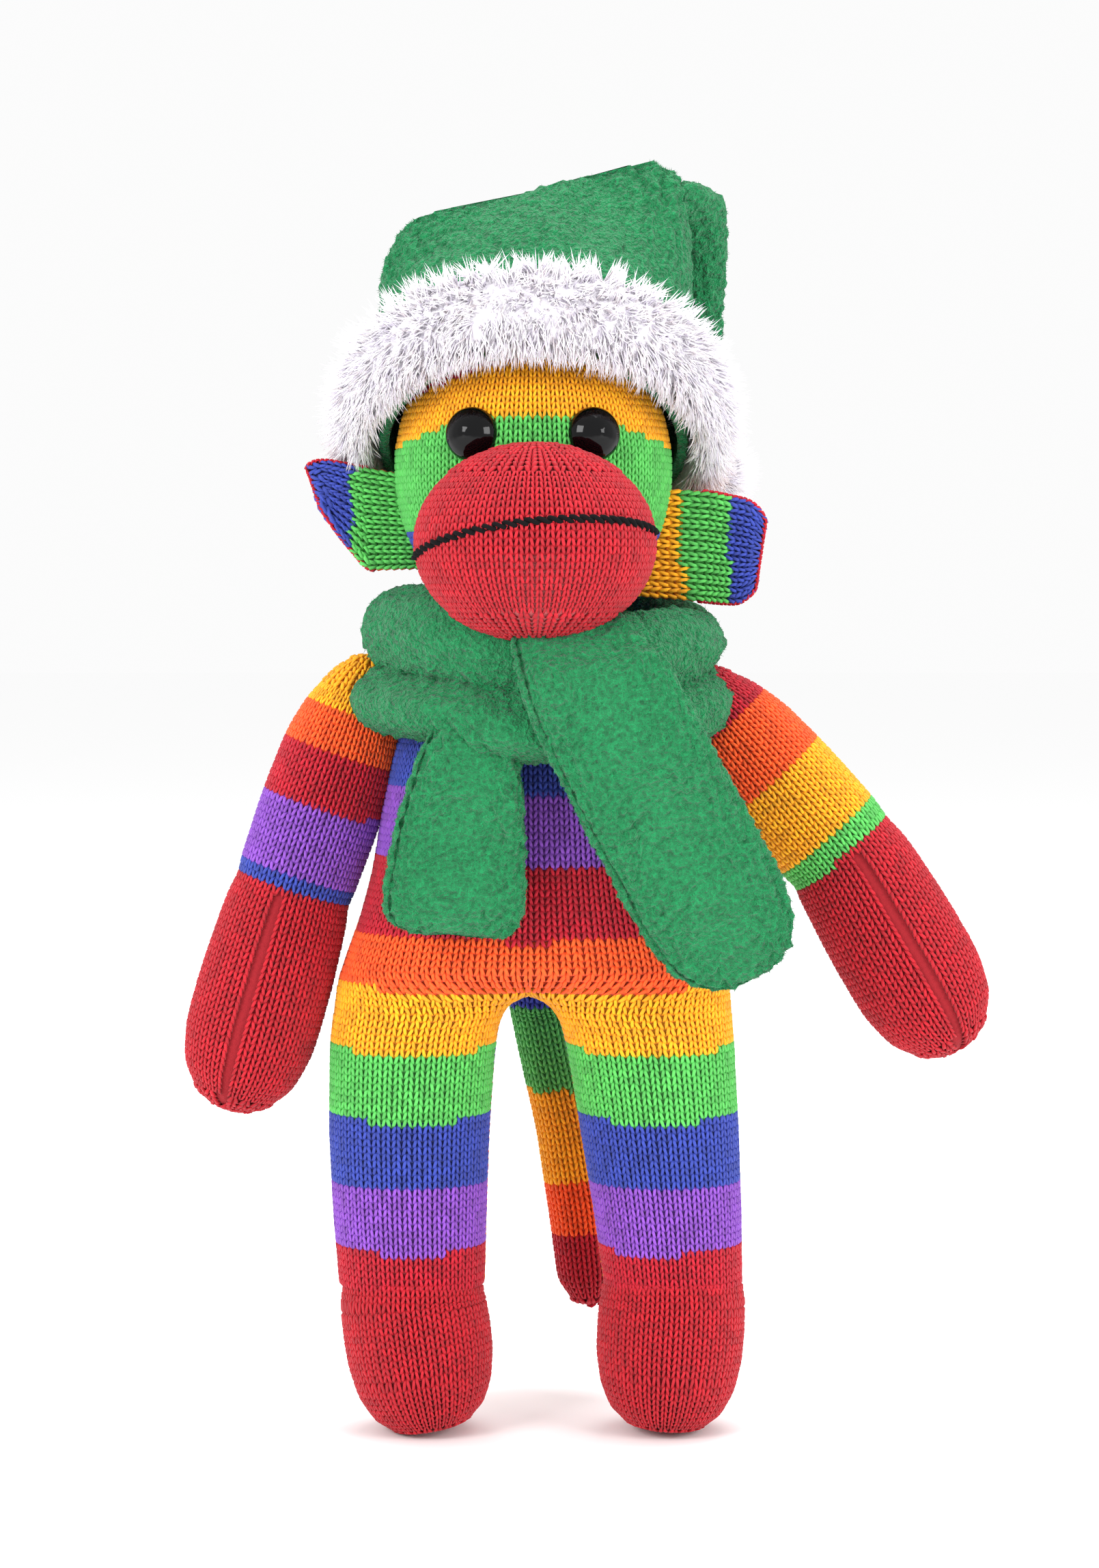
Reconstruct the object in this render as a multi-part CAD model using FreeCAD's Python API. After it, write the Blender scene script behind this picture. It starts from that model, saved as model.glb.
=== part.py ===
import FreeCAD
import Part

import math
import os

# Stuffed monkey sewn from striped knit, wearing a fleece hat and a fleece scarf.
# Millimetres, +Z up, the face looks along -Y, the viewer's right is +X, and the soles rest on Z = 0.
# Each limb is a knitted skin round a pad of loose filling: every skin is a shell with its filling inside.

V = FreeCAD.Vector

# Fabric and gaps
KNIT = 1.2  # thickness of the knitted fabric
FLEECE = 1.8  # thickness of one layer of fleece
FILL_GAP = 0.15  # from a skin to the filling inside it
SEW_GAP = 0.1  # from one sewn piece to the piece it is sewn on
MOVE_GAP = 0.6  # between two pieces that move apart

# Everything is drawn about the body's own upright line, then moved so that the origin is the middle of
# the whole toy's outline; the right arm is held further out than the left one.
OUTLINE_MIDDLE = V(10.77, -2.5, 0)

# Legs and feet
HIP_HEIGHT = 76.0
LEG_DEPTH = 13.4  # half of the leg from front to back
LEG_WIDTH = 15.6  # half of the leg from side to side
LEG_HIP_X = {"left": -25.2, "right": 23.2}
LEG_ANKLE_X = {"left": -24.6, "right": 28.6}
FOOT_SEAM = 30.5  # height of the seam between the leg and the foot
FOOT_WIDTH = 14.2
FOOT_DEPTH = 16.5
FOOT_FORWARD = 2.5  # the foot's middle stands this far in front of the ankle
SOLE_WIDTH = 7.5
SOLE_DEPTH = 10.5

# Torso and neck
HIP_WIDTH = 38.5
WAIST_WIDTH = 30.0
TORSO_DEPTH = 22.0
WAIST_HEIGHT = 118.0
NECK_HEIGHT = 163.2
NECK_RADIUS = 14.5
NECK_TIE_RADIUS = 0.8

# Arms and hands: the angles are measured from straight down
SHOULDER = {"left": V(-36.2, 0, 148.6), "right": V(36.4, 0, 148.0)}
ARM_LENGTH = 39.5
HAND_LENGTH = 46.0
ARM_RADIUS = 11.8
ARM_DEPTH = 11.0
HAND_RADIUS = 12.6
ARM_ANGLE = {"left": 19.4, "right": 43.0}
HAND_ANGLE = {"left": 16.4, "right": 30.5}

# Head, muzzle, eyes
HEAD_CENTRE = V(0, 0, 197.0)
HEAD_RADIUS = 27.7  # level, all round
HEAD_HALF_HEIGHT = 32.0
MUZZLE_CENTRE = V(0.5, -34.0, 183.0)
MUZZLE_HALF_WIDTH = 24.5
MUZZLE_RADIUS = 20.6  # square to X, all round
MOUTH_YARN = 1.7
MOUTH_HEIGHT = 172.2  # where the mouth's slanting plane crosses the Z axis
MOUTH_RISE_FRONT = 0.25  # rise of that plane towards the front
MOUTH_RISE_RIGHT = 0.1  # and towards the right
EYE_SPACING = 24.0
EYE_HEIGHT = 204.4
EYE_RADIUS = 5.0
EYE_BULGE = 4.2
STEM_RADIUS = 1.5
STEM_LENGTH = 8.0
STEM_CLEARANCE = 0.1
WASHER_RADIUS = 4.5
WASHER_THICKNESS = 1.2
WASHER_CLEARANCE = 0.05
WASHER_DEPTH = 2.4  # from the eye's back face to the washer

# Ears: two layers, cut from the same outline
EAR_LAYER = 2.3
EAR_GAP = 1.8  # from the side of the head
EAR_REACH = 20.5
EAR_HEIGHT = 20.5
EAR_CORNER = 4.0
EAR_MIDDLE = {"left": 186.3, "right": 181.3}
EAR_DROOP = {"left": 0.0, "right": 9.0}
THREAD = 0.7
THREAD_INSET = 2.0  # from the edge of the ear

# Tail
TAIL_ROOT = V(1.0, 28.8, 92.0)
TAIL_END = V(11.5, 37.0, 28.0)
TAIL_RADIUS = 6.0
TAIL_TIP_SHARE = 0.22

# Hat: the rim lies on a plane that tips back
RIM_CENTRE = V(0, 5.4, 207.3)
RIM_TILT = 35.0
RIM_RADIUS = 30.2  # inside of the crown
TRIM_THICKNESS = 8.0
TRIM_HALF_HEIGHT = 9.5
CROWN_TOP = V(0, 15.0, 251.5)
CROWN_TOP_WIDTH = 29.5
CROWN_TOP_DEPTH = 8.0
CROWN_MIDDLE_WIDTH = 32.0  # halfway from the trim to the top
CROWN_MIDDLE_DEPTH = 23.0
CROWN_SLOPE = 14.0
CROWN_ROUND = 5.0  # the fold at the top closes over this height
TIP_HINGE = V(32.5, 29.5, 248.5)
TIP_DROP = V(5.0, 10.0, -40.0)
TIP_WIDTH = 9.0
TIP_DEPTH = 4.4
POMPOM_RADIUS = 11.0
POMPOM_CORE = 5.0

# Scarf
SCARF_INNER = 24.0
SCARF_ROLL = 5.6  # radius of each of the two rolls that lie one on the other
SCARF_CENTRE = V(2.0, -1.0, 155.4)
SCARF_TILT = 6.0
END_THICKNESS = 4.8
SHORT_END_WIDTH = 27.5
SHORT_END_LENGTH = 35.5
SHORT_END_HINGE = V(-16.0, -31.5, 140.2)
LONG_END_WIDTH = 27.0
LONG_END_LENGTH = 71.0
LONG_END_HINGE = V(10.5, -39.5, 155.5)
LONG_END_SWING = 25.0  # the long end hangs this far off straight down, towards the right
LONG_END_LEAN = 9.0  # and leans back to the chest by this much
LONG_END_CORNER = 9.0
SHORT_END_SWING = -3.0
SHORT_END_LEAN = 4.0
SHORT_END_CORNER = 5.0

CAP_ANGLES = (24, 42, 58, 74, 90)  # a rounded end is drawn through these points of a quarter circle


def frame_matrix(centre, normal, across, depth):
    """Places a unit circle: `across` is level with X as far as it can be, `depth` points to the back."""
    n = V(normal).normalize()
    side = V(0, 1, 0).cross(n).normalize()
    back = n.cross(side)
    side.multiply(across)
    back.multiply(depth)
    return FreeCAD.Matrix(
        side.x, back.x, n.x, centre.x,
        side.y, back.y, n.y, centre.y,
        side.z, back.z, n.z, centre.z,
        0, 0, 0, 1,
    )


def arc(station, inset, start, end):
    """Part of a station's ellipse (centre, normal, across, depth), made smaller by the inset."""
    centre, normal, across, depth = station
    circle = Part.makeCircle(1.0, V(0, 0, 0), V(0, 0, 1), start, end)
    matrix = frame_matrix(centre, normal, across - inset, depth - inset)
    return circle.transformGeometry(matrix).Edges[0]


def ring(station, inset=0.0):
    return Part.Wire([arc(station, inset, 0, 360)])


def half_ring(station, thick, front):
    """The closed outline of one half of a fabric tube, in front or behind."""
    start = 180 if front else 0
    outer = arc(station, 0, start, start + 180)
    inner = arc(station, thick, start, start + 180)
    first = Part.makeLine(outer.Vertexes[0].Point, inner.Vertexes[0].Point)
    last = Part.makeLine(outer.Vertexes[-1].Point, inner.Vertexes[-1].Point)
    return Part.Wire(Part.__sortEdges__([outer, last, inner, first]))


def panel(stations, front, thick=KNIT):
    """Half of a fabric tube, to be sewn to the other half along its sides."""
    return Part.makeLoft([half_ring(s, thick, front) for s in stations], True, True)


def sleeve(stations, thick=KNIT):
    """A whole fabric tube, open at both ends."""
    walls = Part.makeLoft([ring(s) for s in stations], False, True).Faces
    walls += Part.makeLoft([ring(s, thick) for s in stations], False, True).Faces
    ends = [Part.Face([ring(s), ring(s, thick)]) for s in (stations[0], stations[-1])]
    shell = Part.Compound(walls + ends)
    shell.sewShape()
    solid = Part.Solid(shell.Shells[0])
    if solid.Volume < 0:
        solid.reverse()
    return solid


def filling(stations):
    """The loose filling inside a fabric tube."""
    inset = KNIT + FILL_GAP
    return Part.makeLoft([ring(s, inset) for s in stations], True, True)


def half_spheroid(half_length, radius, hollow=0.0):
    """Half of an ellipse turned about Z, on its +Y side; `hollow` is its wall, or 0 for a solid."""
    def half_ellipse(long, wide):
        matrix = FreeCAD.Matrix()
        matrix.scale(wide, 1, long)
        unit = Part.makeCircle(1.0, V(0, 0, 0), V(0, -1, 0), -90, 90)
        return unit.transformGeometry(matrix).Edges[0]

    outer = half_ellipse(half_length, radius)
    ends = [v.Point for v in outer.Vertexes]
    if hollow:
        inner = half_ellipse(half_length - hollow, radius - hollow)
        poles = [Part.makeLine(p, v.Point) for p, v in zip(ends, inner.Vertexes)]
        edges = [outer, poles[1], inner, poles[0]]
    else:
        edges = [outer, Part.makeLine(ends[1], ends[0])]
    face = Part.Face(Part.Wire(Part.__sortEdges__(edges)))
    return face.revolve(V(0, 0, 0), V(0, 0, 1), 180)


def spheroid(half, centre, axis):
    """A whole body from its +Y half, moved so that its own Z axis lies along the given axis."""
    other = half.copy()
    other.rotate(V(0, 0, 0), V(0, 0, 1), 180)
    whole = half.fuse(other)
    whole.Placement = FreeCAD.Placement(centre, FreeCAD.Rotation(V(0, 0, 1), axis))
    return whole


def head_form(grow=0.0):
    half = half_spheroid(HEAD_HALF_HEIGHT + grow, HEAD_RADIUS + grow)
    return spheroid(half, HEAD_CENTRE, V(0, 0, 1))


def muzzle_form(grow=0.0, hollow=0.0):
    half = half_spheroid(MUZZLE_HALF_WIDTH + grow, MUZZLE_RADIUS + grow, hollow)
    return spheroid(half, MUZZLE_CENTRE, V(1, 0, 0))


def half_space(point, normal, size=400.0):
    """A box that fills the side of a plane that the normal points to."""
    box = Part.makeBox(size, size, size, V(-size / 2, -size / 2, 0))
    box.Placement = FreeCAD.Placement(point, FreeCAD.Rotation(V(0, 0, 1), normal))
    return box


def direction(angle, side):
    """Down and outwards at an angle from straight down."""
    a = math.radians(angle)
    out = -1 if side == "left" else 1
    return V(out * math.sin(a), 0, -math.cos(a))


def save(name, shape):
    shape.translated(OUTLINE_MIDDLE * -1).exportStep(f"parts/{name}.step")


# ---------------------------------------------------------------- torso
def torso_stations():
    """From the flat bottom between the hips to the neck; the shoulders give way to the arms' roots."""
    bottom = HIP_HEIGHT + LEG_DEPTH + MOVE_GAP
    hip = bottom + 5
    root = SHOULDER["left"].z
    beside = abs(SHOULDER["left"].x) - ARM_RADIUS - 2 * MOVE_GAP
    profile = (
        (bottom, HIP_WIDTH - 4, TORSO_DEPTH - 3.5),
        (hip, HIP_WIDTH, TORSO_DEPTH - 0.5),
        ((hip + WAIST_HEIGHT) / 2, (HIP_WIDTH + WAIST_WIDTH) / 2 - 0.5, TORSO_DEPTH),
        (WAIST_HEIGHT, WAIST_WIDTH, TORSO_DEPTH),
        (root - ARM_RADIUS - MOVE_GAP, beside + 3.2, TORSO_DEPTH - 1),
        (root - ARM_RADIUS * 0.5, beside + 1.0, TORSO_DEPTH - 2),
        (root + 1, beside - 0.8, TORSO_DEPTH - 3),
        (root + ARM_RADIUS * 0.6, beside - 3.5, TORSO_DEPTH - 5),
        (NECK_HEIGHT, NECK_RADIUS, NECK_RADIUS - 0.5),
    )
    return [(V(0, 0, z), V(0, 0, 1), across, depth) for z, across, depth in profile]


def make_torso():
    save("torso_front_panel", panel(torso_stations(), True))
    save("torso_back_panel", panel(torso_stations(), False))
    save("torso_stuffing", filling(torso_stations()))
    tie = V(0, 0, NECK_HEIGHT - NECK_TIE_RADIUS)
    save("neck_tie", Part.makeTorus(NECK_RADIUS + NECK_TIE_RADIUS + 1.0, NECK_TIE_RADIUS, tie))


# ---------------------------------------------------------------- legs, feet
def leg_stations(side):
    """From the rounded top at the hip down to the sole."""
    down = V(0, 0, -1)
    hip, ankle = LEG_HIP_X[side], LEG_ANKLE_X[side]
    stations = []
    for angle in CAP_ANGLES:
        a = math.radians(angle)
        height = HIP_HEIGHT + LEG_DEPTH * math.cos(a)
        width = LEG_WIDTH * (0.45 + 0.55 * math.sin(a))
        stations.append((V(hip, 0, height), down, width, LEG_DEPTH * math.sin(a)))
    middle = (HIP_HEIGHT + FOOT_SEAM) / 2
    stations.append((V((hip + ankle) / 2, 0, middle), down, LEG_WIDTH - 0.6, LEG_DEPTH))
    stations.append((V(ankle, 0, FOOT_SEAM), down, FOOT_WIDTH, LEG_DEPTH))
    toe = -FOOT_FORWARD
    stations.append((V(ankle, toe, FOOT_SEAM * 0.5), down, FOOT_WIDTH, FOOT_DEPTH))
    stations.append((V(ankle, toe, FOOT_SEAM * 0.16), down, FOOT_WIDTH - 2.6, FOOT_DEPTH - 2))
    stations.append((V(ankle, toe, 0), down, SOLE_WIDTH, SOLE_DEPTH))
    return stations


def make_leg(side):
    stations = leg_stations(side)
    seam = len(CAP_ANGLES) + 2
    save(f"{side}_leg_front_panel", panel(stations[:seam], True))
    save(f"{side}_leg_back_panel", panel(stations[:seam], False))
    save(f"{side}_foot_skin", sleeve(stations[seam - 1:]))
    save(f"{side}_leg_stuffing", filling(stations))


# ---------------------------------------------------------------- arms, hands
def wrist(side):
    return SHOULDER[side] + direction(ARM_ANGLE[side], side) * ARM_LENGTH


def arm_stations(side):
    """From the rounded root inside the shoulder, past the wrist, to the rounded finger end."""
    along = direction(ARM_ANGLE[side], side)
    hand = direction(HAND_ANGLE[side], side)
    turn = direction((ARM_ANGLE[side] + HAND_ANGLE[side]) / 2, side)
    stations = []
    for angle in CAP_ANGLES:
        a = math.radians(angle)
        centre = SHOULDER[side] - along * (ARM_RADIUS * math.cos(a))
        stations.append((centre, along, ARM_RADIUS * math.sin(a), ARM_DEPTH * math.sin(a)))
    elbow = SHOULDER[side] + along * (ARM_LENGTH / 2)
    stations.append((elbow, along, ARM_RADIUS, ARM_DEPTH))
    stations.append((wrist(side), turn, ARM_RADIUS, ARM_DEPTH))
    palm = HAND_LENGTH - HAND_RADIUS
    stations.append((wrist(side) + hand * (palm * 0.5), hand, HAND_RADIUS, ARM_DEPTH))
    for angle in reversed(CAP_ANGLES):
        a = math.radians(angle)
        centre = wrist(side) + hand * (palm + HAND_RADIUS * math.cos(a))
        stations.append((centre, hand, HAND_RADIUS * math.sin(a), ARM_DEPTH * math.sin(a)))
    return stations


def make_arm(side):
    stations = arm_stations(side)
    seam = len(CAP_ANGLES) + 2
    save(f"{side}_arm_sleeve", sleeve(stations[:seam]))
    save(f"{side}_hand_skin", sleeve(stations[seam - 1:]))
    save(f"{side}_arm_stuffing", filling(stations))


# ---------------------------------------------------------------- head, muzzle, eyes
def eye_place(side):
    """The point of the head under the eye's middle, and the way the eye faces."""
    x = EYE_SPACING / 2 * (-1 if side == "left" else 1)
    z = EYE_HEIGHT - HEAD_CENTRE.z
    level = HEAD_RADIUS * math.sqrt(1 - (z / HEAD_HALF_HEIGHT) ** 2)
    y = -math.sqrt(level ** 2 - x ** 2)
    facing = V(x / HEAD_RADIUS ** 2, y / HEAD_RADIUS ** 2, z / HEAD_HALF_HEIGHT ** 2)
    return HEAD_CENTRE + V(x, y, z), facing.normalize()


def eye_stem(side, clearance):
    point, facing = eye_place(side)
    return Part.makeCylinder(STEM_RADIUS + clearance, STEM_LENGTH + clearance, point, facing * -1)


def eye_washer(side, clearance):
    point, facing = eye_place(side)
    base = point - facing * (WASHER_DEPTH - clearance)
    thick = WASHER_THICKNESS + 2 * clearance
    return Part.makeCylinder(WASHER_RADIUS + clearance, thick, base, facing * -1)


def make_eye(side):
    point, facing = eye_place(side)
    ball_radius = (EYE_RADIUS ** 2 + EYE_BULGE ** 2) / (2 * EYE_BULGE)
    back = point + facing * SEW_GAP
    ball = Part.makeSphere(ball_radius, back + facing * (EYE_BULGE - ball_radius))
    dome = ball.common(half_space(back, facing))
    stem = Part.makeCylinder(STEM_RADIUS, STEM_LENGTH + SEW_GAP, back, facing * -1)
    save(f"{side}_eye", dome.fuse(stem).removeSplitter())
    bore = eye_stem(side, WASHER_CLEARANCE)
    save(f"{side}_eye_washer", eye_washer(side, 0).cut(bore))


def make_head():
    back = half_spheroid(HEAD_HALF_HEIGHT, HEAD_RADIUS, KNIT)
    front = back.copy()
    front.rotate(V(0, 0, 0), V(0, 0, 1), 180)
    back.translate(HEAD_CENTRE)
    front.translate(HEAD_CENTRE)
    pad = head_form(-KNIT - FILL_GAP)
    for side in ("left", "right"):
        front = front.cut(eye_stem(side, STEM_CLEARANCE))
        pad = pad.cut(eye_stem(side, FILL_GAP)).cut(eye_washer(side, FILL_GAP))
        make_eye(side)
    save("head_front_panel", front)
    save("head_back_panel", back)
    save("head_stuffing", pad)


def mouth_plane():
    """A point on the mouth's plane and its upward normal."""
    return V(0, 0, MOUTH_HEIGHT), V(-MOUTH_RISE_RIGHT, MOUTH_RISE_FRONT, 1).normalize()


def make_muzzle():
    on_face = head_form(SEW_GAP)
    save("muzzle_skin", muzzle_form(0, KNIT).cut(on_face))
    save("muzzle_stuffing", muzzle_form(-KNIT - FILL_GAP).cut(on_face))
    point, normal = mouth_plane()
    band = muzzle_form(MOUTH_YARN * 0.6).cut(muzzle_form(SEW_GAP))
    band = band.common(half_space(point - normal * (MOUTH_YARN / 2), normal))
    band = band.common(half_space(point + normal * (MOUTH_YARN / 2), normal * -1))
    save("mouth_yarn", band.common(half_space(MUZZLE_CENTRE, V(0, -1, 0))))


# ---------------------------------------------------------------- ears
def ear_outline(side, inset=0.0):
    """The flat outline of an ear, from inside the head to the outer end."""
    out = -1 if side == "left" else 1
    middle = EAR_MIDDLE[side]
    drop = math.tan(math.radians(EAR_DROOP[side])) * EAR_REACH
    root = HEAD_RADIUS - 9
    end = HEAD_RADIUS + EAR_REACH - inset
    half = EAR_HEIGHT / 2 - inset
    corners = (
        (root, middle + half),
        (end, middle + half - drop * 0.5),
        (end - 1.5, middle - half * 0.3 - drop),
        (end - 8, middle - half - drop * 0.8),
        (root, middle - half),
    )
    points = [V(out * x, 0, z) for x, z in corners]
    return Part.Face(Part.makePolygon(points + points[:1]))


def ear_layer(side, inset, start, thickness):
    """One layer of an ear, with its outer corners rounded, clear of the head."""
    flat = ear_outline(side, inset)
    flat.translate(V(0, start, 0))
    layer = flat.extrude(V(0, thickness, 0))
    outer = HEAD_RADIUS + EAR_REACH / 2
    upright = [
        e for e in layer.Edges
        if abs(e.Vertexes[0].Y - e.Vertexes[-1].Y) > thickness / 2 and abs(e.Vertexes[0].X) > outer
    ]
    return layer.makeFillet(EAR_CORNER, upright).cut(head_form(EAR_GAP))


def make_ear(side):
    save(f"{side}_ear_front", ear_layer(side, 0, -EAR_LAYER, EAR_LAYER))
    save(f"{side}_ear_back", ear_layer(side, 0, SEW_GAP, EAR_LAYER))
    face = -EAR_LAYER - SEW_GAP
    stitches = ear_layer(side, THREAD_INSET, face - THREAD, THREAD)
    hollow = ear_layer(side, THREAD_INSET + THREAD, face - THREAD, THREAD)
    out = V(-1 if side == "left" else 1, 0, 0)
    outer_part = half_space(out * (HEAD_RADIUS + EAR_REACH * 0.55), out)
    save(f"{side}_ear_topstitch", stitches.cut(hollow).common(outer_part))


# ---------------------------------------------------------------- tail
def tail_stations():
    along = TAIL_END - TAIL_ROOT
    along.normalize()
    length = (TAIL_END - TAIL_ROOT).Length
    stations = []
    for angle in CAP_ANGLES:
        a = math.radians(angle)
        radius = TAIL_RADIUS * math.sin(a)
        stations.append((TAIL_ROOT + along * (TAIL_RADIUS * (1 - math.cos(a))), along, radius, radius))
    for share in (0.5, 1 - TAIL_TIP_SHARE):
        stations.append((TAIL_ROOT + along * (length * share), along, TAIL_RADIUS, TAIL_RADIUS))
    for angle in reversed(CAP_ANGLES):
        a = math.radians(angle)
        radius = TAIL_RADIUS * math.sin(a)
        stations.append((TAIL_END - along * (TAIL_RADIUS * (1 - math.cos(a))), along, radius, radius))
    return stations


def make_tail():
    stations = tail_stations()
    seam = len(CAP_ANGLES) + 2
    save("tail_skin", sleeve(stations[:seam]))
    save("tail_tip_skin", sleeve(stations[seam - 1:]))
    save("tail_stuffing", filling(stations))


# ---------------------------------------------------------------- hat
def rim_normal():
    a = math.radians(RIM_TILT)
    return V(0, math.sin(a), math.cos(a))


def crown_stations():
    """From the rim, up over the head, to the flat fold at the top."""
    n = rim_normal()
    slope = math.radians(CROWN_SLOPE)
    top = V(-math.sin(slope), 0, math.cos(slope))
    radius = RIM_RADIUS + FLEECE
    start = RIM_CENTRE - n * (TRIM_HALF_HEIGHT - 1.5)
    band = RIM_CENTRE + n * (TRIM_HALF_HEIGHT * 0.6)
    return [
        (start, n, radius, radius),
        (RIM_CENTRE, n, radius, radius),
        (band, n, radius, radius),
        ((band + CROWN_TOP) * 0.5, (n + top) * 0.5, CROWN_MIDDLE_WIDTH, CROWN_MIDDLE_DEPTH),
        (CROWN_TOP, top, CROWN_TOP_WIDTH, CROWN_TOP_DEPTH),
        (CROWN_TOP + top * CROWN_ROUND, top, CROWN_TOP_WIDTH - CROWN_ROUND, FLEECE + FILL_GAP),
    ]


def turned(section_radius, half_width, half_height):
    """A ring about the Z axis whose section is an ellipse."""
    matrix = FreeCAD.Matrix()
    matrix.scale(half_width, 1, half_height)
    matrix.move(V(section_radius, 0, 0))
    section = Part.makeCircle(1.0, V(0, 0, 0), V(0, -1, 0)).transformGeometry(matrix)
    solid = Part.Face(Part.Wire(section.Edges)).revolve(V(0, 0, 0), V(0, 0, 1), 360)
    return solid if solid.Volume > 0 else solid.reversed()


def make_hat():
    save("hat_front_panel", panel(crown_stations(), True, FLEECE))
    save("hat_back_panel", panel(crown_stations(), False, FLEECE))
    middle = RIM_RADIUS + FLEECE + SEW_GAP + TRIM_THICKNESS / 2
    trim = turned(middle, TRIM_THICKNESS / 2, TRIM_HALF_HEIGHT)
    trim.Placement = FreeCAD.Placement(RIM_CENTRE, FreeCAD.Rotation(V(0, 0, 1), rim_normal()))
    save("hat_fur_trim", trim)


def make_hat_tip():
    """The end of the hat, folded over and hanging behind the head, with its pompom."""
    down = V(0, 0, -1)
    stations = []
    for angle in CAP_ANGLES:
        a = math.radians(angle)
        centre = TIP_HINGE + V(0, 0, TIP_DEPTH * math.cos(a))
        stations.append((centre, down, TIP_WIDTH * (0.5 + 0.5 * math.sin(a)), TIP_DEPTH * math.sin(a)))
    for share in (0.2, 0.4, 0.6, 0.8, 1.0):
        centre = TIP_HINGE + TIP_DROP * share
        stations.append((centre, down, TIP_WIDTH * (1 - 0.6 * share), TIP_DEPTH * (1 - 0.3 * share)))
    save("hat_tip", Part.makeLoft([ring(s) for s in stations], True, True))
    centre = TIP_HINGE + TIP_DROP - V(0, 0, POMPOM_RADIUS + SEW_GAP)
    ball = Part.makeSphere(POMPOM_RADIUS, centre)
    save("pompom_fur", ball.cut(Part.makeSphere(POMPOM_CORE, centre)))
    save("pompom_core", Part.makeSphere(POMPOM_CORE - FILL_GAP, centre))


# ---------------------------------------------------------------- scarf
def arm_sweep(side):
    """The space above and beside the shoulder that the arm passes through as it lifts."""
    reach = ARM_RADIUS + MOVE_GAP
    depth = ARM_DEPTH + 2 * MOVE_GAP
    pivot = SHOULDER[side]
    cylinder = Part.makeCylinder(reach, 2 * depth, pivot - V(0, depth, 0), V(0, 1, 0))
    start = pivot.x - (40 if side == "left" else 0)
    below = Part.makeBox(40, 2 * depth, 2 * reach, V(start, -depth, pivot.z - reach))
    return cylinder.fuse(below)


def make_scarf_loop():
    """Two rolls of fleece round the neck, with room above the shoulders for the arms."""
    middle = SCARF_INNER + SCARF_ROLL
    step = V(0, 0, SCARF_ROLL * 0.55)
    lower = Part.makeTorus(middle, SCARF_ROLL, step * -1)
    upper = Part.makeTorus(middle - 1.0, SCARF_ROLL, step)
    loop = lower.fuse(upper).removeSplitter()
    loop.Placement = FreeCAD.Placement(SCARF_CENTRE, FreeCAD.Rotation(V(1, 0, 0), SCARF_TILT))
    for side in SHOULDER:
        loop = loop.cut(arm_sweep(side))
    save("scarf_loop", loop)


def scarf_end(hinge, width, length, rounding, swing, lean):
    """A flat double layer of fleece that hangs from its top edge, with rounded lower corners."""
    flat = Part.makeBox(width, END_THICKNESS, length, V(-width / 2, -END_THICKNESS / 2, -length))
    lower = [
        e for e in flat.Edges
        if abs(e.Vertexes[0].Y - e.Vertexes[-1].Y) > END_THICKNESS / 2 and e.Vertexes[0].Z < -length / 2
    ]
    flat = flat.makeFillet(rounding, lower)
    top = Part.makeCylinder(END_THICKNESS / 2, width, V(-width / 2, 0, 0), V(1, 0, 0))
    piece = flat.fuse(top).removeSplitter()
    turn = FreeCAD.Rotation(V(1, 0, 0), lean).multiply(FreeCAD.Rotation(V(0, 1, 0), -swing))
    piece.Placement = FreeCAD.Placement(hinge, turn)
    return piece


def make_scarf():
    make_scarf_loop()
    short = (SHORT_END_HINGE, SHORT_END_WIDTH, SHORT_END_LENGTH, SHORT_END_CORNER)
    save("scarf_short_end", scarf_end(*short, SHORT_END_SWING, SHORT_END_LEAN))
    long = (LONG_END_HINGE, LONG_END_WIDTH, LONG_END_LENGTH, LONG_END_CORNER)
    save("scarf_long_end", scarf_end(*long, LONG_END_SWING, LONG_END_LEAN))


os.makedirs("parts", exist_ok=True)
make_torso()
make_head()
make_muzzle()
for body_side in ("left", "right"):
    make_leg(body_side)
    make_arm(body_side)
    make_ear(body_side)
make_tail()
make_hat()
make_hat_tip()
make_scarf()
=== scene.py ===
import math

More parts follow.
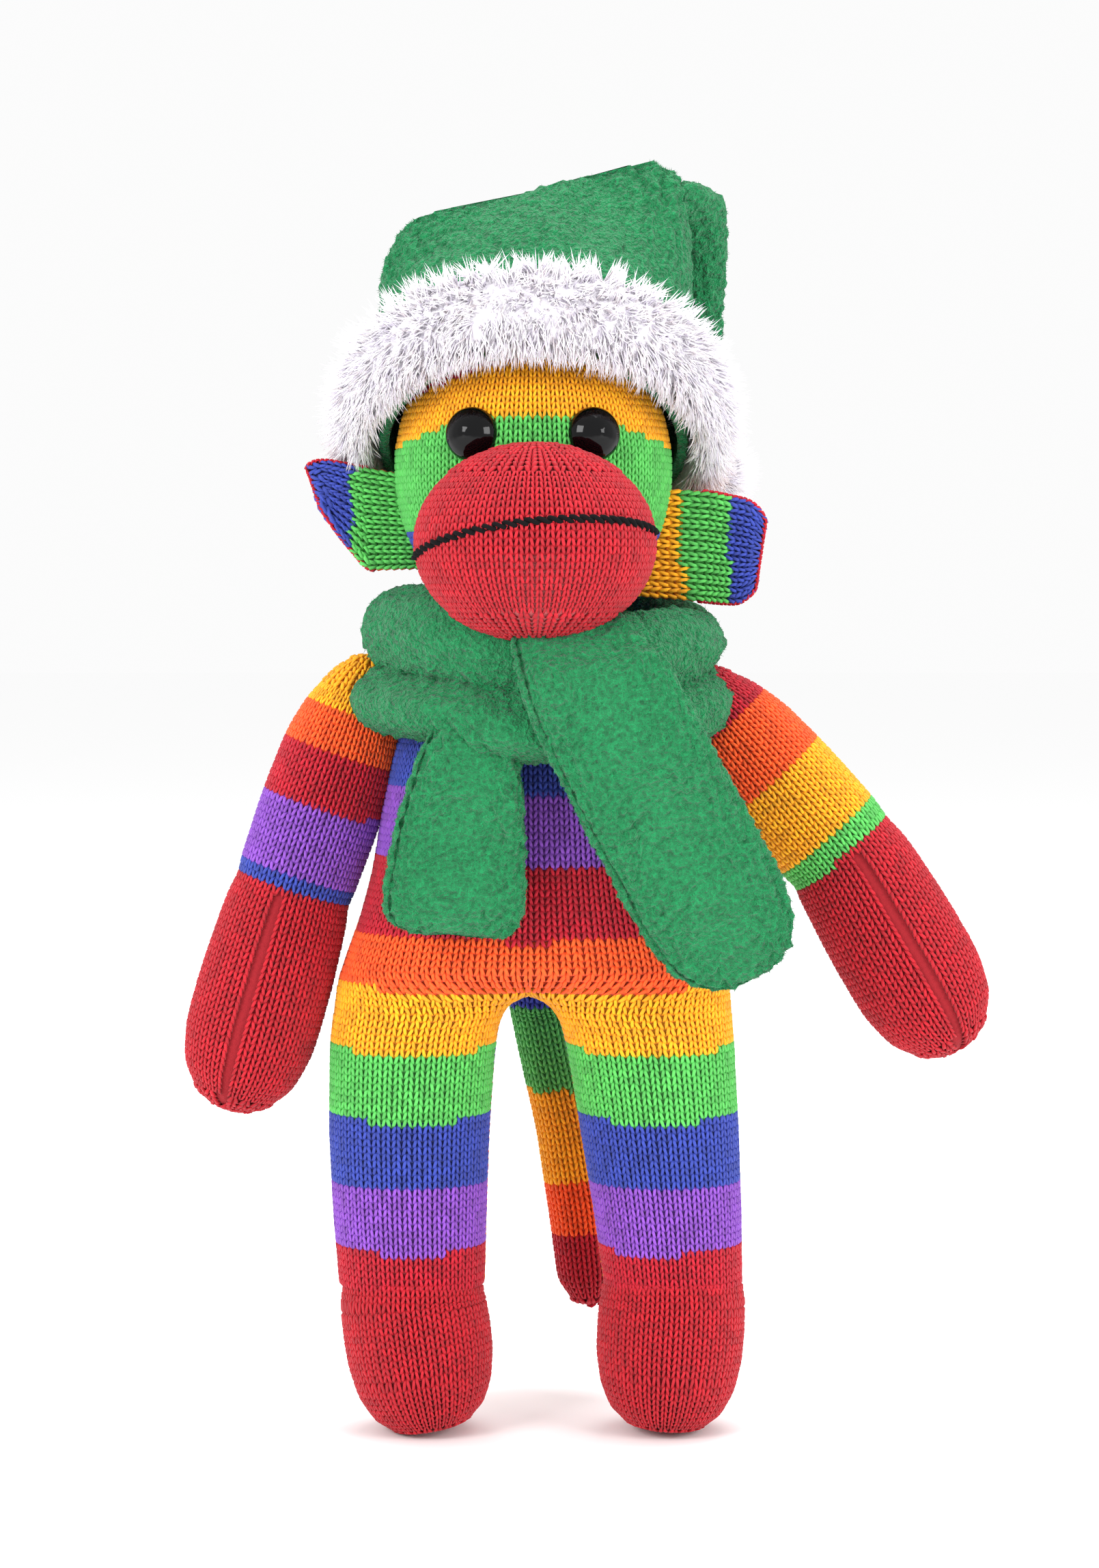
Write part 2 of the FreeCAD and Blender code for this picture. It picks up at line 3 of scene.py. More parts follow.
import bpy
import numpy as np
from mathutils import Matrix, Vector


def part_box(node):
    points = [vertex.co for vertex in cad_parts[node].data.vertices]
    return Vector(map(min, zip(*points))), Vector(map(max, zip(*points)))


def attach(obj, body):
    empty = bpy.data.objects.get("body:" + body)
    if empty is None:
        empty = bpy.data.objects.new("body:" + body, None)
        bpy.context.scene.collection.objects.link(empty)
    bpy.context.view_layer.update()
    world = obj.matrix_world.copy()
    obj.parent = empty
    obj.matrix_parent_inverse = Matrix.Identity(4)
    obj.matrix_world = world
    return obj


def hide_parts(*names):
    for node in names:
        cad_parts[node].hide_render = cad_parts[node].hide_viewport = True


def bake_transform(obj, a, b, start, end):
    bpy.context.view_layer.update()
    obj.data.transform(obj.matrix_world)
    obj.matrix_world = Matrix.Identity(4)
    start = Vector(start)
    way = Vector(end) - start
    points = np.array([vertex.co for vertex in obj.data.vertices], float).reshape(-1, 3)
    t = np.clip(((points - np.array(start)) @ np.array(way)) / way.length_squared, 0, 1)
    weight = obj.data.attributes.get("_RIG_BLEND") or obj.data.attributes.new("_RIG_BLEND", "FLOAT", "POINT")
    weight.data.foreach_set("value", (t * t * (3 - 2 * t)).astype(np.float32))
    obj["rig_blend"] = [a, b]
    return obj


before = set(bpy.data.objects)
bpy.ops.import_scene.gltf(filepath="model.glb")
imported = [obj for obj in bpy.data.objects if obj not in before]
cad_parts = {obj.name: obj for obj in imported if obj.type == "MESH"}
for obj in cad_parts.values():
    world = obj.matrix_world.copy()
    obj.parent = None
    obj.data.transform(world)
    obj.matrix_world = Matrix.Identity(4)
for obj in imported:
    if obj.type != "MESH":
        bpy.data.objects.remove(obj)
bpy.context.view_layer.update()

# ---- Studio ------------------------------------------------------------------------------------
# A plain pale floor, a camera in front of the toy, a little above its middle, and three large soft
# lights. None of it is part of the toy.
FLOOR_REACH = 7.0
floor_mesh = bpy.data.meshes.new("studio_floor")
corner_signs = ((-1, -1), (1, -1), (1, 1), (-1, 1))
floor_corners = [(x * FLOOR_REACH, y * FLOOR_REACH, 0) for x, y in corner_signs]
floor_mesh.from_pydata(floor_corners, [], [(0, 1, 2, 3)])
studio_floor = bpy.data.objects.new("studio_floor", floor_mesh)
bpy.context.collection.objects.link(studio_floor)
floor_paint = bpy.data.materials.new("studio_white")
floor_paint.use_nodes = True
floor_shader = floor_paint.node_tree.nodes["Principled BSDF"]
floor_shader.inputs["Base Color"].default_value = (0.99, 0.99, 0.99, 1)
floor_shader.inputs["Roughness"].default_value = 1.0
floor_shader.inputs["Specular IOR Level"].default_value = 0.0
floor_mesh.materials.append(floor_paint)

# Sizes are taken from the toy's own upright line, which runs through the tie of the neck.
neck_low, neck_high = (np.array(c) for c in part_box("neck_tie"))
STAND = (neck_low + neck_high) / 2 * np.array([1, 1, 0])

LENS = 85.0
SENSOR_HEIGHT = 36.0
VIEW_HEIGHT = 0.3167  # the height that the camera takes in at the toy
VIEW_MIDDLE = (0.0033, -0.01, 0.1335)
CAMERA_RISE = math.radians(3.0)
camera_data = bpy.data.cameras.new("camera")
camera_data.lens = LENS
camera_data.sensor_fit = "VERTICAL"
camera_data.sensor_height = SENSOR_HEIGHT
camera = bpy.data.objects.new("camera", camera_data)
bpy.context.collection.objects.link(camera)
aim = Vector(VIEW_MIDDLE) + Vector(STAND)
away = VIEW_HEIGHT * LENS / SENSOR_HEIGHT
camera.location = aim + Vector((0, -math.cos(CAMERA_RISE), math.sin(CAMERA_RISE))) * away
camera.rotation_euler = (aim - camera.location).to_track_quat("-Z", "Y").to_euler()
bpy.context.scene.camera = camera


def soft_light(name, place, size, power):
    data = bpy.data.lights.new(name, "AREA")
    data.size = size
    data.energy = power
    light = bpy.data.objects.new(name, data)
    bpy.context.collection.objects.link(light)
    light.location = place
    light.rotation_euler = (aim - light.location).to_track_quat("-Z", "Y").to_euler()


soft_light("left_softbox", Vector((-0.75, -0.85, 0.62)), 0.5, 8.6)
soft_light("right_softbox", Vector((0.85, -0.75, 0.5)), 0.5, 7.0)
soft_light("top_softbox", Vector((0.1, 0.2, 1.1)), 0.8, 7.0)
world = bpy.data.worlds.new("studio_world")
world.use_nodes = True
world.node_tree.nodes["Background"].inputs["Color"].default_value = (1, 1, 1, 1)
world.node_tree.nodes["Background"].inputs["Strength"].default_value = 0.97
bpy.context.scene.world = world
bpy.context.scene.view_settings.view_transform = "Standard"


# ---- Torso and legs ----------------------------------------------------------------------------
# The body is one tube of rainbow-striped stockinette knit, front and back panels sewn together and
# slit at the bottom into two legs, then stuffed. Every stitch is a V of two plump strands of yarn.
MM = 0.001


def socket_named(sockets, name):
    """The socket in use under a name; some nodes have one of that name for each kind of value."""
    return next(s for s in sockets if s.enabled and s.name == name.replace("_", " "))


class Wire:
    """A socket of a material's nodes that can be used in a sum."""

    def __init__(self, shader, socket):
        self.shader, self.socket = shader, socket

    def _with(self, operation, other, swap=False):
        pair = (other, self) if swap else (self, other)
        return self.shader.node("Math", {"operation": operation}, *pair)

    def __add__(self, other):
        return self._with("ADD", other)

    def __mul__(self, other):
        return self._with("MULTIPLY", other)

    def __sub__(self, other):
        return self._with("SUBTRACT", other)

    def __rsub__(self, other):
        return self._with("SUBTRACT", other, swap=True)

    __radd__, __rmul__ = __add__, __mul__


class Shader:
    """A material with a Principled surface whose constants are given by socket name."""

    def __init__(self, name, colour, **constants):
        self.material = bpy.data.materials.new(name)
        self.material.use_nodes = True
        self.tree = self.material.node_tree
        self.surface = self.tree.nodes["Principled BSDF"]
        self.surface.inputs["Base Color"].default_value = (*colour, 1)
        self.material.diffuse_color = (*colour, 1)
        for key, value in constants.items():
            self.surface.inputs[key.replace("_", " ")].default_value = value

    def node(self, kind, settings=None, *values, out=0, **named):
        """Adds a node: its settings first, then the values or links of its sockets."""
        made = self.tree.nodes.new("ShaderNode" + kind)
        for key, value in (settings or {}).items():
            setattr(made, key, value)
        for key, value in [*enumerate(values), *named.items()]:
            socket = socket_named(made.inputs, key) if isinstance(key, str) else made.inputs[key]
            if isinstance(value, Wire):
                self.tree.links.new(value.socket, socket)
            else:
                socket.default_value = value
        return Wire(self, socket_named(made.outputs, out) if isinstance(out, str) else made.outputs[out])

    def feed(self, name, wire):
        self.tree.links.new(wire.socket, self.surface.inputs[name])

    def place(self):
        return self.node("TexCoord", out="Object")

    def noise(self, scale, detail=2.0, rough=0.5):
        return self.node("TexNoise", None, Vector=self.place(), Scale=scale, Detail=detail, Roughness=rough)

    def bump(self, height, strength, distance):
        self.feed("Normal", self.node("Bump", None, Height=height, Strength=strength, Distance=distance))


def linear(red, green, blue):
    """A colour given as it looks on a screen, from 0 to 255, as light."""
    def one(v):
        v /= 255
        return v / 12.92 if v <= 0.04045 else ((v + 0.055) / 1.055) ** 2.4
    return one(red), one(green), one(blue)


YARN = {
    "green": (84, 186, 84),
    "blue": (48, 66, 162),
    "purple": (134, 72, 184),
    "crimson": (182, 6, 36),
    "orange": (248, 88, 24),
    "yellow": (250, 170, 10),
    "red": (180, 8, 30),
}
YARN_NAMES = list(YARN)
YARN_SHADES = (("", 1.0), ("_light", 1.14), ("_deep", 0.84))
yarn_materials, shaded_backing_materials = [], []
for yarn_name, yarn_colour in YARN.items():
    base = linear(*yarn_colour)
    for shade, factor in YARN_SHADES:
        colour = tuple(min(c * factor, 1.0) for c in base)
        yarn = Shader(
            f"{yarn_name}_yarn{shade}", colour, Roughness=0.8, Sheen_Weight=0.08, Sheen_Roughness=0.4)
        fibres = yarn.noise(2600.0, 3.0, 0.65)
        yarn.bump(fibres, 0.5, 0.0002)
        yarn.feed("Roughness", 0.66 + fibres * 0.25)
        yarn_materials.append(yarn.material)
    # The backing under the stitches is each yarn made darker: painted shade for the gaps between the
    # stitches.
    backing = tuple(0.66 * c + 0.006 for c in base)
    behind = Shader(f"{yarn_name}_yarn_behind_in_painted_shade", backing, Roughness=0.95)
    behind.bump(behind.noise(900.0), 0.8, 0.0005)
    shaded_backing_materials.append(behind.material)

WALE = 1.95 * MM  # width of a stitch
COURSE = 1.42 * MM  # height of a stitch
NARROWEST = 0.68 * WALE  # stitches that would be narrower are knitted together, as at a closed end
SMALLEST = 0.35 * MM  # a stitch that would be smaller is left out
OVERLAP = np.array([1.06, 1.08])  # how far a stitch reaches over its own width and height
PLUMPNESS = 1.05  # thickness of a stitch against its width
UNEVEN_SIZE, UNEVEN_SLANT = 0.035, 0.03
rng = np.random.default_rng(7)


def unit(v):
    return v / np.maximum(np.linalg.norm(v, axis=-1, keepdims=True), 1e-12)


def stitch_mesh():
    """One V: two strands that start together low down, spread, and tuck under the next row."""
    line = np.array([[0.07, -0.80, -0.16], [0.20, -0.32, 0.16], [0.31, 0.22, 0.17], [0.37, 0.72, -0.14]])
    radii = (0.10, 0.195, 0.20, 0.10)
    points, faces = [], []
    for mirror in (1, -1):
        start = len(points)
        path = line * np.array([mirror, 1, 1])
        for k, (p, r) in enumerate(zip(path, radii)):
            ahead = unit(path[min(k + 1, 3)] - path[max(k - 1, 0)])
            side = unit(np.cross(ahead, [0, 0, 1.0]))
            up = np.cross(side, ahead)
            for corner in range(4):
                a = math.pi / 4 + corner * math.pi / 2
                points.append(p + side * r * math.cos(a) + up * r * math.sin(a) * 0.9)
        for k in range(3):
            for c in range(4):
                a, b = start + 4 * k + c, start + 4 * k + (c + 1) % 4
                faces.append((a, b, b + 4, a + 4))
        faces.append((start + 3, start + 2, start + 1, start))
        faces.append((start + 12, start + 13, start + 14, start + 15))
    mesh = bpy.data.meshes.new("stitch")
    mesh.from_pydata([tuple(p) for p in points], [], faces)
    mesh.shade_smooth()
    return mesh


def add_nodes_tree(name, inputs):
    """An empty node group for a modifier, with the named inputs and one geometry output."""
    tree = bpy.data.node_groups.new(name, "GeometryNodeTree")
    tree.interface.new_socket("Geometry", in_out="INPUT", socket_type="NodeSocketGeometry")
    for label, kind in inputs:
        tree.interface.new_socket(label, in_out="INPUT", socket_type="NodeSocket" + kind)
    tree.interface.new_socket("Geometry", in_out="OUTPUT", socket_type="NodeSocketGeometry")
    return tree


def add_node(tree, kind, settings=None, **values):
    """A geometry node: its settings first, then the values or links of its sockets by name."""
    made = tree.nodes.new(kind)
    for key, value in (settings or {}).items():
        setattr(made, key, value)
    for key, value in values.items():
        socket = socket_named(made.inputs, key)
        if isinstance(value, bpy.types.NodeSocket):
            tree.links.new(value, socket)
        else:
            socket.default_value = value
    return made


def attribute(tree, name, kind):
    found = add_node(tree, "GeometryNodeInputNamedAttribute", {"data_type": kind}, Name=name)
    return found.outputs["Attribute"]


def planting(name, materials):
    """A tree that puts one shape on each point, turned to the surface, and gives it its material."""
    labels = [("Shape", "Object")] + [(m.name, "Material") for m in materials]
    tree = add_nodes_tree(name, labels)
    source = tree.nodes.new("NodeGroupInput").outputs
    info = add_node(tree, "GeometryNodeObjectInfo", None, Object=source["Shape"])
    turn = add_node(
        tree, "FunctionNodeAxesToRotation", {"primary_axis": "Z", "secondary_axis": "Y"},
        Primary_Axis=attribute(tree, "out", "FLOAT_VECTOR"),
        Secondary_Axis=attribute(tree, "along", "FLOAT_VECTOR"),
    )
    placed = add_node(
        tree, "GeometryNodeInstanceOnPoints", None,
        Points=source["Geometry"], Instance=info.outputs["Geometry"],
        Rotation=turn.outputs["Rotation"], Scale=attribute(tree, "size", "FLOAT_VECTOR"),
    )
    fabric = add_node(tree, "GeometryNodeRealizeInstances", None, Geometry=placed.outputs["Instances"])
    flow = fabric.outputs["Geometry"]
    kind_of = attribute(tree, "kind", "INT")
    for index, material in enumerate(materials):
        chosen = add_node(
            tree, "FunctionNodeCompare", {"data_type": "INT", "operation": "EQUAL"}, A=kind_of, B=index)
        dyed = add_node(
            tree, "GeometryNodeSetMaterial", None,
            Geometry=flow, Selection=chosen.outputs["Result"], Material=source[material.name],
        )
        flow = dyed.outputs["Geometry"]
    tree.links.new(flow, tree.nodes.new("NodeGroupOutput").inputs["Geometry"])
    return tree


stitch_form = bpy.data.objects.new("stitch_form", stitch_mesh())
bpy.context.collection.objects.link(stitch_form)
knitting = planting("knitting", yarn_materials)
POINT_DATA = ("out", "along", "size", "kind")


def planted(name, tree, shape, materials, data):
    """The plain mesh that a planting tree makes from rows of place, out, along, size and kind."""
    carrier = bpy.data.meshes.new(name + "_points")
    carrier.vertices.add(len(data["place"]))
    carrier.vertices.foreach_set("co", (data["place"] + STAND).astype(np.float32).ravel())
    for key in POINT_DATA[:3]:
        layer = carrier.attributes.new(key, "FLOAT_VECTOR", "POINT")
        layer.data.foreach_set("vector", data[key].astype(np.float32).ravel())
    layer = carrier.attributes.new("kind", "INT", "POINT")
    layer.data.foreach_set("value", data["kind"].astype(np.int32))
    holder = bpy.data.objects.new(name + "_carrier", carrier)
    bpy.context.collection.objects.link(holder)
    modifier = holder.modifiers.new("make", "NODES")
    modifier.node_group = tree
    sockets = {i.name: i.identifier for i in tree.interface.items_tree if i.in_out == "INPUT"}
    modifier[sockets["Shape"]] = shape
    for material in materials:
        modifier[sockets[material.name]] = material
    bpy.context.view_layer.update()
    seen = holder.evaluated_get(bpy.context.evaluated_depsgraph_get())
    mesh = bpy.data.meshes.new_from_object(seen)
    mesh.name = name
    for extra in [a.name for a in mesh.attributes if a.name in POINT_DATA]:
        mesh.attributes.remove(mesh.attributes[extra])
    bpy.data.objects.remove(holder)
    mesh.shade_smooth()
    piece = bpy.data.objects.new(name, mesh)
    bpy.context.collection.objects.link(piece)
    return piece


def knit(name, patches):
    """The stitches of one piece. A patch is (surface, wales, courses, colour, keep): surface maps u
    across and t along to points, colour names the yarn at a point, keep says where there is fabric."""
    columns = {"place": [], "out": [], "along": [], "size": [], "kind": []}
    for surface, wales, courses, colour, keep in patches:
        u, t = np.meshgrid((np.arange(wales) + 0.5) / wales, (np.arange(courses) + 0.5) / courses)
        u, t = u.ravel(), t.ravel()
        here = surface(u, t)
        along = surface(u, t + 0.5 / courses) - surface(u, t - 0.5 / courses)
        across = surface(u + 0.5 / wales, t) - surface(u - 0.5 / wales, t)
        out = unit(np.cross(across, along))
        size = np.stack([np.linalg.norm(across, axis=1), np.linalg.norm(along, axis=1)], axis=1)
        row_width = size[:, 0].reshape(courses, wales).mean(axis=1)
        doublings = np.ceil(np.log2(NARROWEST / np.maximum(row_width, 1e-6)))
        joined = 2 ** np.clip(doublings, 0, 4).astype(int)
        joined = np.repeat(joined, wales)
        first = np.tile(np.arange(wales), courses) % joined == 0
        here = np.where((joined > 1)[:, None], surface(u + (joined - 1) / 2 / wales, t), here)
        size[:, 0] *= joined
        good = keep(here, u, t) & first & (size.min(axis=1) > SMALLEST)
        thick = np.minimum(size[:, :1] * PLUMPNESS, WALE * PLUMPNESS)
        size = np.concatenate([size * OVERLAP, thick], axis=1)
        size *= 1 + rng.normal(0, UNEVEN_SIZE, size.shape)
        along = unit(along) + rng.normal(0, UNEVEN_SLANT, along.shape)
        shade = rng.choice([0, 0, 0, 1, 2], len(u))
        yarn = np.array([YARN_NAMES.index(c) for c in colour(here, u, t)]) * len(YARN_SHADES) + shade
        for key, values in zip(columns, (here, out, unit(along), size, yarn)):
            columns[key].append(values[good])
    data = {key: np.concatenate(values) for key, values in columns.items()}
    return planted(name, knitting, stitch_form, yarn_materials, data)


def closed_grid(name, rows, materials, choose=None, loop=False):
    """A closed tube through rows of points (n, m, 3): its ends are filled by fans round their middles,
    or its last row meets its first."""
    count, around = rows.shape[:2]
    r, c = np.meshgrid(np.arange(count if loop else count - 1), np.arange(around), indexing="ij")
    n, above = (c + 1) % around, (r + 1) % count
    quads = np.stack([r * around + c, r * around + n, above * around + n, above * around + c], -1)
    faces = [tuple(q) for q in quads.reshape(-1, 4).tolist()]
    places = list(rows.reshape(-1, 3))
    for row, flip in () if loop else ((0, True), (count - 1, False)):
        places.append(rows[row].mean(axis=0))
        hub = len(places) - 1
        for k in range(around):
            a, b = row * around + k, row * around + (k + 1) % around
            faces.append((b, a, hub) if flip else (a, b, hub))
    mesh = bpy.data.meshes.new(name)
    mesh.from_pydata([tuple(p) for p in np.array(places) + STAND], [], faces)
    for material in materials:
        mesh.materials.append(material)
    if choose is not None:
        middles = np.array([np.mean([places[i] for i in f], axis=0) for f in faces])
        mesh.polygons.foreach_set("material_index", np.array(choose(middles), dtype=np.int32))
    mesh.shade_smooth()
    piece = bpy.data.objects.new(name, mesh)
    bpy.context.collection.objects.link(piece)
    face_outwards(piece)
    return piece


def bending(start, end):
    """Where a joined piece starts and ends to bend, from places about the body's upright line."""
    return {"start": tuple(np.array(start) + STAND), "end": tuple(np.array(end) + STAND)}


def face_outwards(piece):
    """Turns a closed mesh right side out."""
    mesh = piece.data
    mesh.calc_loop_triangles()
    corners = np.zeros(len(mesh.vertices) * 3, np.float32)
    mesh.vertices.foreach_get("co", corners)
    corners = corners.reshape(-1, 3)
    tris = np.zeros(len(mesh.loop_triangles) * 3, np.int32)
    mesh.loop_triangles.foreach_get("vertices", tris)
    a, b, c = (corners[tris.reshape(-1, 3)[:, k]] for k in range(3))
    if np.einsum("ij,ij->", a, np.cross(b, c)) < 0:
        mesh.flip_normals()


def along_curve(keys, values, at):
    """Values between rows of keys, eased so that the outline has no corners."""
    keys, values = np.asarray(keys, float), np.asarray(values, float)
    fine = np.linspace(keys[0], keys[-1], 241)
    line = np.stack([np.interp(fine, keys, values[:, k]) for k in range(values.shape[1])], 1)
    reach = 9  # fine rows on either side that soften a corner
    weights = np.hanning(2 * reach + 3)[1:-1]
    weights /= weights.sum()
    front = 2 * line[:1] - line[1:reach + 1][::-1]
    back = 2 * line[-1:] - line[-reach - 1:-1][::-1]
    padded = np.concatenate([front, line, back])
    soft = np.stack([np.convolve(padded[:, k], weights, "valid") for k in range(line.shape[1])], 1)
    at = np.clip(at, keys[0], keys[-1])
    return np.stack([np.interp(at, fine, soft[:, k]) for k in range(line.shape[1])], -1)


def stripes(limits, names):
    """Colour by a rising coordinate: names[k] is below limits[k], the last name is above them all."""
    def colour(value):
        return [names[i] for i in np.searchsorted(limits, value)]
    return colour


ANKLE = 30.5 * MM
NECK = 166.0 * MM
CROTCH = 91.0 * MM
MIDDLE = -1.0 * MM
HIPS = 86.0 * MM  # the legs become one body from here, over the next rise
HIPS_RISE = 11.0 * MM
SLIT_ROUNDING = 3.2 * MM
STUFFED_BOW = 0.86  # how full the section of the stuffed body is; 1 is an ellipse
# height, half width of the body, half depth of the body
BODY = np.array([
    (30.5, 40.0, 20.0), (84, 40.3, 20.0), (92, 39.6, 20.8), (98, 37.8, 21.8), (106, 34.8, 22.6),
    (116, 32.2, 22.6), (128, 30.4, 22.0), (138, 28.6, 21.0), (147, 25.6, 19.5), (155, 21.5, 17.5),
    (161, 17.0, 15.5), (166, 12.5, 12.5),
]) * MM
# height, outer edge, inner edge, half depth of a leg
LEGS = {
    "left": np.array([(30.5, 39.4, 10.6, 13.4), (45, 40.6, 10.2, 14.0), (62, 41.4, 9.6, 14.8),
                      (80, 41.2, 8.4, 15.6), (92, 39.6, 8.0, 16.0), (166, 39.6, 8.0, 16.0)]) * MM,
    "right": np.array([(30.5, 42.4, 15.0, 13.4), (45, 42.2, 13.0, 14.0), (62, 41.6, 10.2, 14.8),
                       (80, 40.6, 7.4, 15.6), (92, 39.6, 6.0, 16.0), (166, 39.6, 6.0, 16.0)]) * MM,
}
SEAM_GAP = 0.35 * MM


def body_panel(side, facing, lift=0.0):
    """Half of the body, from the side seam (u = 0) to the middle or the inner leg seam (u = 1)."""
    sign = -1 if side == "left" else 1

    def surface(u, t):
        z = ANKLE + (NECK - ANKLE) * np.asarray(t)
        width, depth = np.moveaxis(along_curve(BODY[:, 0], BODY[:, 1:], z), -1, 0)
        leg_sizes = along_curve(LEGS[side][:, 0], LEGS[side][:, 1:], z)
        outer, inner, leg_depth = np.moveaxis(leg_sizes, -1, 0)
        trunk = np.clip((z - HIPS) / HIPS_RISE, 0, 1)
        trunk = trunk * trunk * (3 - 2 * trunk)
        a = np.asarray(u) * math.pi
        bow = np.clip(np.abs(np.sin(a)), 0, 1) ** STUFFED_BOW
        leg_x = (outer + inner) / 2 + (outer - inner) / 2 * np.cos(a)
        leg_y = leg_depth * bow
        body_x = width * np.cos(a / 2)
        body_y = depth * np.sin(a / 2) ** STUFFED_BOW
        x = body_x * trunk + leg_x * (1 - trunk)
        y = body_y * trunk + leg_y * (1 - trunk)
        end = (1 - trunk) * inner
        outside = width * trunk + outer * (1 - trunk)
        opening = 1 - np.exp(-np.clip(CROTCH - z, 0, None) / SLIT_ROUNDING)
        target = sign * MIDDLE * (1 - opening) + inner * opening
        x = outside - (outside - x) * (outside - target) / (outside - end)
        y = y + SEAM_GAP + lift * np.sin(a / 2)
        grown_x = x + lift * (np.cos(a) * (1 - trunk) + np.cos(a / 2) * trunk)
        return np.stack([sign * grown_x, facing * y, z], -1)

    if sign * facing > 0:
        return surface
    return lambda u, t: surface(1 - np.asarray(u), t)


front_stripes = stripes(
    np.array([39, 52, 66, 80, 93, 104, 119, 133.5, 147]) * MM,
    ["crimson", "purple", "blue", "green", "yellow", "orange", "crimson", "purple", "blue", "green"],
)
back_stripes = stripes(
    np.array([46, 61, 75, 87, 101, 115, 129, 143, 157]) * MM,
    ["yellow", "orange", "crimson", "purple", "blue", "green", "yellow", "orange", "crimson", "purple"],
)


def body_colour(facing):
    """Stripes by height; on the front they sag a little towards the middle of the body."""
    def colour(p, u=None, t=None):
        x, z = p[:, 0], p[:, 2]
        leg_middle = 24.0 * MM
        bow = 1.6 * MM * np.clip(1 - ((np.abs(x) - leg_middle) / (16 * MM)) ** 2, 0, 1)
        on_leg = np.clip((96 * MM - z) / (12 * MM), 0, 1)
        sag = 1.5 * MM * np.clip(1 - (x / (36 * MM)) ** 2, 0, 1) * (1 - on_leg)
        height = z + bow * on_leg * 0.5 + sag
        return front_stripes(height) if facing < 0 else back_stripes(z)
    return colour


def always(p, u, t):
    return np.ones(len(p), bool)


BACKING_IN = 0.45 * MM
for side in ("left", "right"):
    leg_body = f"{side}_leg"
    hip = {"left": -25.2, "right": 23.2}[side] * MM
    bend = bending((hip, 0, 96 * MM), (hip, 0, 62 * MM))
    panels = {-1: body_panel(side, -1), 1: body_panel(side, 1)}
    for facing, word in ((-1, "front"), (1, "back")):
        rows = round((NECK - ANKLE) / COURSE)
        patch = (panels[facing], 24, rows, body_colour(facing), always)
        piece = knit(f"{side}_body_{word}_stitches", [patch])
        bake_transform(piece, "torso", leg_body, **bend)
    t = np.linspace(0, 1, 110)
    u = np.linspace(0, 1, 25)
    grid_u, grid_t = np.meshgrid(u, t)
    inner_front = body_panel(side, -1, -BACKING_IN)(grid_u, grid_t)
    inner_back = body_panel(side, 1, -BACKING_IN)(grid_u, grid_t)
    ring = np.concatenate([inner_front, inner_back], axis=1)

    def backing(p):
        front, back = body_colour(-1)(p), body_colour(1)(p)
        return [YARN_NAMES.index(f if y < 0 else b) for f, b, y in zip(front, back, p[:, 1])]

    skin = closed_grid(f"{side}_body_skin", ring, shaded_backing_materials, backing)
    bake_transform(skin, "torso", leg_body, **bend)
    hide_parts(f"{side}_leg_front_panel", f"{side}_leg_back_panel", f"{side}_leg_stuffing")
    if side == "left":
        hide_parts("torso_front_panel", "torso_back_panel", "torso_stuffing")


# ---- Feet --------------------------------------------------------------------------------------
# The stuffed red end of each leg: the same knit closed under a flat sole, sewn on where the stripes
# end, with a pinched line of thread round the ankle.
def eased_path(points):
    """A smooth line through the points: its place and its direction at a distance along it."""
    points = np.asarray(points, float) * MM
    steps = np.concatenate([[0], np.cumsum(np.linalg.norm(np.diff(points, axis=0), axis=1))])

    def place(s):
        s = np.asarray(s, float)
        inside = along_curve(steps, points, s)
        before, after = np.minimum(s - steps[0], 0), np.maximum(s - steps[-1], 0)
        first, last = unit(points[1] - points[0]), unit(points[-1] - points[-2])
        return inside + before[..., None] * first + after[..., None] * last

    def heading(s):
        return unit(place(np.asarray(s) + 0.4 * MM) - place(np.asarray(s) - 0.4 * MM))

    return place, heading


def tube(path, profile, lift=0.0, square=1.0):
    """The surface of a stuffed tube along a path. A profile row is a distance along the path, half
    the width and half the depth; t runs evenly over the outline, so the stitches keep their height."""
    place, heading = eased_path(path)
    profile = np.asarray(profile, float) * MM
    count = np.linspace(0, len(profile) - 1, 301)
    line = along_curve(np.arange(len(profile)), profile, count)
    length = np.concatenate([[0], np.cumsum(np.linalg.norm(np.diff(line[:, :2], axis=0), axis=1))])

    def surface(u, t):
        at = np.clip(np.asarray(t), 0, 1) * length[-1]
        s, w, d = (np.interp(at, length, line[:, k]) for k in range(3))
        centre, ahead = place(s), heading(s)
        side = unit(np.array([1.0, 0, 0]) - ahead * ahead[..., :1])
        front = np.cross(ahead, side)
        a = np.asarray(u) * 2 * math.pi
        cos, sin = np.cos(a), np.sin(a)
        bend_c, bend_s = np.sign(cos) * np.abs(cos) ** square, np.sign(sin) * np.abs(sin) ** square
        return centre + side * ((w + lift) * bend_c)[..., None] + front * ((d + lift) * bend_s)[..., None]

    return surface


def under(profile, depth=0.45):
    """The profile of the skin that lies under the stitches of a tube."""
    return [(s, max(w - depth, 0.3), max(d - depth, 0.3)) for s, w, d in profile]


def skin_of(name, surface, around, rows, colour):
    """The plain closed skin that lies just under the stitches of a tube, in the darker backing yarns:
    painted shade between the stitches.
    """
    u, t = np.meshgrid(np.arange(around) / around, np.linspace(0, 1, rows))

    def choose(middles):
        return [YARN_NAMES.index(c) for c in colour(middles)]

    return closed_grid(name, surface(u, t), shaded_backing_materials, choose)


def plain(colour):
    return lambda p, u=None, t=None: [colour] * len(p)


